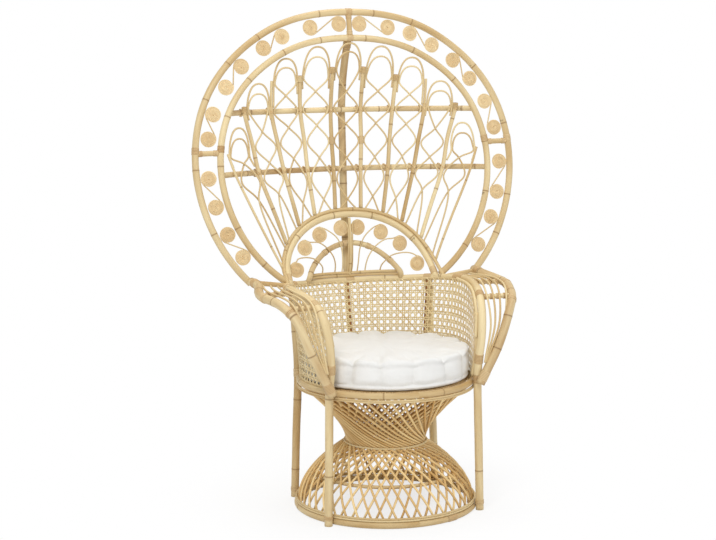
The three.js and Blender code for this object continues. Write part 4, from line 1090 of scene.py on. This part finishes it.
PUCKERS, AROUND = 16, 288
LOW, CROWN = 0.4018, 0.0910                 # height of the base, and of the crown's middle over it
LOWEST, HIGHEST, WIDEST = 0.4015, 0.4975, 0.2550      # the swollen cover stays within these
SWELL_CAP = 0.007
LOW_SEAM, TOP_SEAM = 9, 16                  # rings of the profile
PROFILE = (     # radius, height, share of the simulated swelling, share of a pucker's depth
    (0.060, 0, 0, 0), (0.120, 0, 0, 0), (0.170, 0, 0, 0), (0.205, 0, 0, 0), (0.228, 0, 0, 0),
    (0.240, 0.0004, 0, 0), (0.2468, 0.0028, 0.3, 0.2), (0.2504, 0.0070, 0.5, 0.4),
    (0.2504, 0.0120, 0.4, 0.5), (0.2468, 0.0156, 0, 0.7),
    (0.2490, 0.0200, 0.6, 0.9), (0.2514, 0.0280, 1, 1), (0.2524, 0.0370, 1, 1), (0.2522, 0.0460, 1, 1),
    (0.2514, 0.0550, 1, 1), (0.2494, 0.0640, 0.6, 1), (0.2464, 0.0705, 0, 1),
    (0.2490, 0.0755, 0.4, 1), (0.2506, 0.0815, 0.6, 1), (0.2480, 0.0872, 0.5, 1), (0.2410, 0.0904, 0.4, 0.9),
    (0.2310, 0.0906, 0.8, 0.7), (0.2200, 0.0904, 1, 0.55), (0.2070, 0.0904, 1, 0.4), (0.1930, 0.0908, 1, 0.28),
    (0.1780, 0.0912, 1, 0.18), (0.1580, 0.0916, 1, 0.1), (0.1350, 0.0920, 1, 0), (0.1100, 0.0923, 1, 0),
    (0.0850, 0.0925, 1, 0), (0.0580, 0.0927, 1, 0), (0.0300, 0.0928, 1, 0),
)


def own_share(number, seed):
    """A steady value from 0 to 1 for a numbered panel."""
    value = sin(number * 12.9898 + seed) * 43758.5453
    return value - math.floor(value)


def cushion_mesh():
    """Rings of points from the middle of the base round the wall to the middle of the crown."""
    verts, loose, crease = [], [], []
    for j, (radius, height, free, depth) in enumerate(PROFILE):
        for i in range(AROUND):
            w = 2 * pi * i / AROUND
            panels = w * PUCKERS / (2 * pi)
            panels += 0.10 * sin(w * 3 + 0.8) + 0.05 * sin(w * 7 + height * 30)
            near = abs(panels % 1.0 - 0.5) * 2          # 0 at the middle of a panel, 1 at a pucker
            which, pucker = int(panels), round(panels) % PUCKERS
            pinch = near ** 4 * (0.5 + 0.7 * own_share(pucker, 1.3))
            swell = 1 - near ** 2.2
            r = radius - depth * 0.0076 * pinch + depth * (0.0012 + 0.0016 * own_share(which, 5.5)) * swell
            z = height
            if j > TOP_SEAM:
                z += depth * (0.0022 * swell - 0.0135 * pinch)
                inside = min(1.0, max(0.0, (0.2486 - radius) / 0.05))
                x, y = r * cos(w), r * sin(w)
                wide = sin(52 * x + 1.0) * sin(44 * y + 0.4)
                x, y = r * cos(w + 0.7), r * sin(w + 0.7)
                small = sin(110 * x) * sin(90 * y)
                z += inside * (0.0046 * wide + 0.0028 * small - 0.0020)
            if LOW_SEAM < j < TOP_SEAM:
                pull = near ** 3
                r += 0.0011 * pull * sin(height * 420 + own_share(pucker, 7.1) * 6)
                r += 0.0014 * (1 - pull) * sin(height * 150 + own_share(which, 3.7) * 6)
            if j > LOW_SEAM:
                spot = Vector((r * cos(w), r * sin(w), height)) / 0.030
                fold = noise.noise(spot) * 0.0034 + noise.noise(spot * 2.3) * 0.0018
                r, z = (r + fold * 0.6, z) if j < TOP_SEAM else (r, z + fold)
            verts.append((r * cos(w), r * sin(w) + SHIFT, LOW + z))
            loose.append(free * (1 - 0.8 * near ** 3))
            # Painted shade: the cover darkens at the puckers and along the seams.
            crease.append(min(1.0, depth * pinch * 0.45 + (0.1 if j in (LOW_SEAM, TOP_SEAM) else 0.0)))
    count = len(PROFILE)
    faces = []
    for j in range(count - 1):
        for i in range(AROUND):
            m = (i + 1) % AROUND
            faces.append((j * AROUND + i, j * AROUND + m, (j + 1) * AROUND + m, (j + 1) * AROUND + i))
    verts += [(0, SHIFT, LOW), (0, SHIFT, LOW + CROWN)]
    loose += [0, 1]
    crease += [0, 0]
    for i in range(AROUND):
        m = (i + 1) % AROUND
        faces.append((len(verts) - 2, m, i))
        faces.append((len(verts) - 1, (count - 1) * AROUND + i, (count - 1) * AROUND + m))
    return new_mesh("cushion_cover", verts, faces, [CLOTH], knot=crease), np.array(loose)


def points_of(mesh):
    co = np.zeros(len(mesh.vertices) * 3)
    mesh.vertices.foreach_get("co", co)
    return co.reshape(-1, 3)


def puffed(mesh, loose):
    """The cover swells under a cloth simulation, held at its stitch lines and where it rests."""
    obj = put("cushion_trial", mesh.copy())
    group = obj.vertex_groups.new(name="held")
    for i, free in enumerate(loose):
        group.add([i], float(1 - 0.94 * free), "REPLACE")
    cloth = obj.modifiers.new("cloth", "CLOTH")
    s = cloth.settings
    s.quality, s.mass = 6, 0.25
    s.tension_stiffness = s.compression_stiffness = 18
    s.shear_stiffness, s.bending_stiffness = 6, 0.6
    s.use_pressure, s.uniform_pressure_force = True, 4.5
    s.vertex_group_mass = "held"
    s.pin_stiffness = 3.0
    s.effector_weights.gravity = 0
    cloth.collision_settings.use_self_collision = False
    last = 20
    cloth.point_cache.frame_start, cloth.point_cache.frame_end = 1, last
    scene = bpy.context.scene
    for number in range(1, last + 1):
        scene.frame_set(number)
    co = points_of(obj.evaluated_get(bpy.context.evaluated_depsgraph_get()).to_mesh())
    scene.frame_set(1)
    bpy.data.objects.remove(obj)
    return co


mesh, loose = cushion_mesh()
after = points_of(mesh)
moved = puffed(mesh, loose) - after
length = np.linalg.norm(moved, axis=1)
after += moved * np.minimum(1.0, SWELL_CAP / np.maximum(length, 1e-9))[:, None]
across = np.hypot(after[:, 0], after[:, 1] - SHIFT)
shrink = np.minimum(1.0, WIDEST / np.maximum(across, 1e-9))
after[:, 0] *= shrink
after[:, 1] = SHIFT + (after[:, 1] - SHIFT) * shrink
after[:, 2] = np.clip(after[:, 2], LOWEST, HIGHEST)
mesh.vertices.foreach_set("co", after.ravel())
mesh.update()
cushion = put("cushion_cover", mesh)
smooth = cushion.modifiers.new("smooth", "SUBSURF")
smooth.levels = smooth.render_levels = 1
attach(cushion, "cushion")
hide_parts("cushion")

# Stitches: short threads across the pinched lines above and below the wall.
threads = Piece("cushion_stitches", "cloth", [CLOTH], body="cushion")
for j in (LOW_SEAM, TOP_SEAM):
    ring = after[j * AROUND:(j + 1) * AROUND] - np.array([0, SHIFT, 0])
    for i in range(0, AROUND, 2):
        a, b = ring[i], ring[(i + 1) % AROUND]
        out = np.array([a[0], a[1], 0]) / math.hypot(a[0], a[1])
        threads.tube([a - out * 0.0004, (a + b) / 2 + out * 0.0010, b - out * 0.0004], 0.0006, 5)
threads.finish()

# ---- floor, light and camera

# White to the camera and in gloss, fading into the lit floor under the chair so that the shadow stays.
g = Graph(bpy.data.materials.new("pale_floor"))
where = g.node("NewGeometry").outputs["Position"]
offset = g.node("VectorMath", {"operation": "SUBTRACT"}, i0=where, i1=(0.0, 0.05, 0.0)).outputs[0]
away = g.node("VectorMath", {"operation": "LENGTH"}, i0=offset).outputs["Value"]
fade = g.node("MapRange", {"interpolation_type": "SMOOTHSTEP"}, Value=away, i1=0.10, i2=0.75, i3=0.72, i4=1.0)
rays = g.node("LightPath").outputs
seen = g.math("MAXIMUM", rays["Is Camera Ray"], rays["Is Glossy Ray"])
white = g.node("Emission", None, Color=(1, 1, 1, 1), Strength=1.0).outputs[0]
g.bsdf.inputs["Base Color"].default_value = (0.93, 0.93, 0.93, 1)
g.set(Roughness=0.9)
factor = g.math("MULTIPLY", fade.outputs[0], seen)
mixed = g.node("MixShader", None, i0=factor, i1=g.bsdf.outputs[0], i2=white)
g.tree.links.new(mixed.outputs[0], g.tree.nodes["Material Output"].inputs["Surface"])
corners = [(x, y, -0.0006) for x, y in ((-30, -30), (30, -30), (30, 30), (-30, 30))]
floor = put("floor", new_mesh("floor", corners, [(0, 1, 2, 3)], [g.owner]))

sky = Graph(bpy.data.worlds.new("studio"))
bpy.context.scene.world = sky.owner
glow = sky.tree.nodes["Background"]
glow.inputs["Color"].default_value = (1, 1, 1, 1)
glow.inputs["Strength"].default_value = 0.55
plain = sky.node("Background", None, Color=(1, 1, 1, 1), Strength=1.0).outputs[0]
rays = sky.node("LightPath").outputs
seen = sky.math("MAXIMUM", rays["Is Camera Ray"], rays["Is Transmission Ray"])
mixed = sky.node("MixShader", None, i0=seen, i1=glow.outputs[0], i2=plain)
sky.tree.links.new(mixed.outputs[0], sky.tree.nodes["World Output"].inputs["Surface"])


def area(name, at, to, size, power, color=(1, 1, 1)):
    data = bpy.data.lights.new(name, "AREA")
    data.energy, data.size, data.color = power, size, color
    lamp = put(name, data)
    lamp.location = at
    lamp.rotation_euler = (Vector(to) - Vector(at)).to_track_quat("-Z", "Y").to_euler()


area("key", (-2.0, -2.8, 4.2), (0, 0, 0.7), 1.6, 112, (1.0, 0.995, 0.985))
area("fill", (2.9, -2.4, 2.2), (0, 0, 0.7), 2.4, 26)
area("top", (0.3, 0.9, 4.0), (0, 0, 0.6), 1.8, 44)

yaw, tilt, roll = -0.3516, 0.1436, -0.0035      # in radians, as fitted to the photograph
forward = Vector((-sin(yaw) * cos(tilt), cos(yaw) * cos(tilt), -sin(tilt)))
right = Vector((cos(yaw), sin(yaw), 0))
up = right.cross(forward)
right, up = right * cos(roll) + up * sin(roll), -right * sin(roll) + up * cos(roll)
data = bpy.data.cameras.new("camera")
data.lens, data.sensor_width = 84.7, 36
camera = put("camera", data)
turn = Matrix((right, up, -forward)).transposed().to_4x4()
camera.matrix_world = Matrix.Translation((-1.800, -4.669 + SHIFT, 1.445)) @ turn
bpy.context.scene.camera = camera
bpy.context.scene.view_settings.view_transform = "Standard"
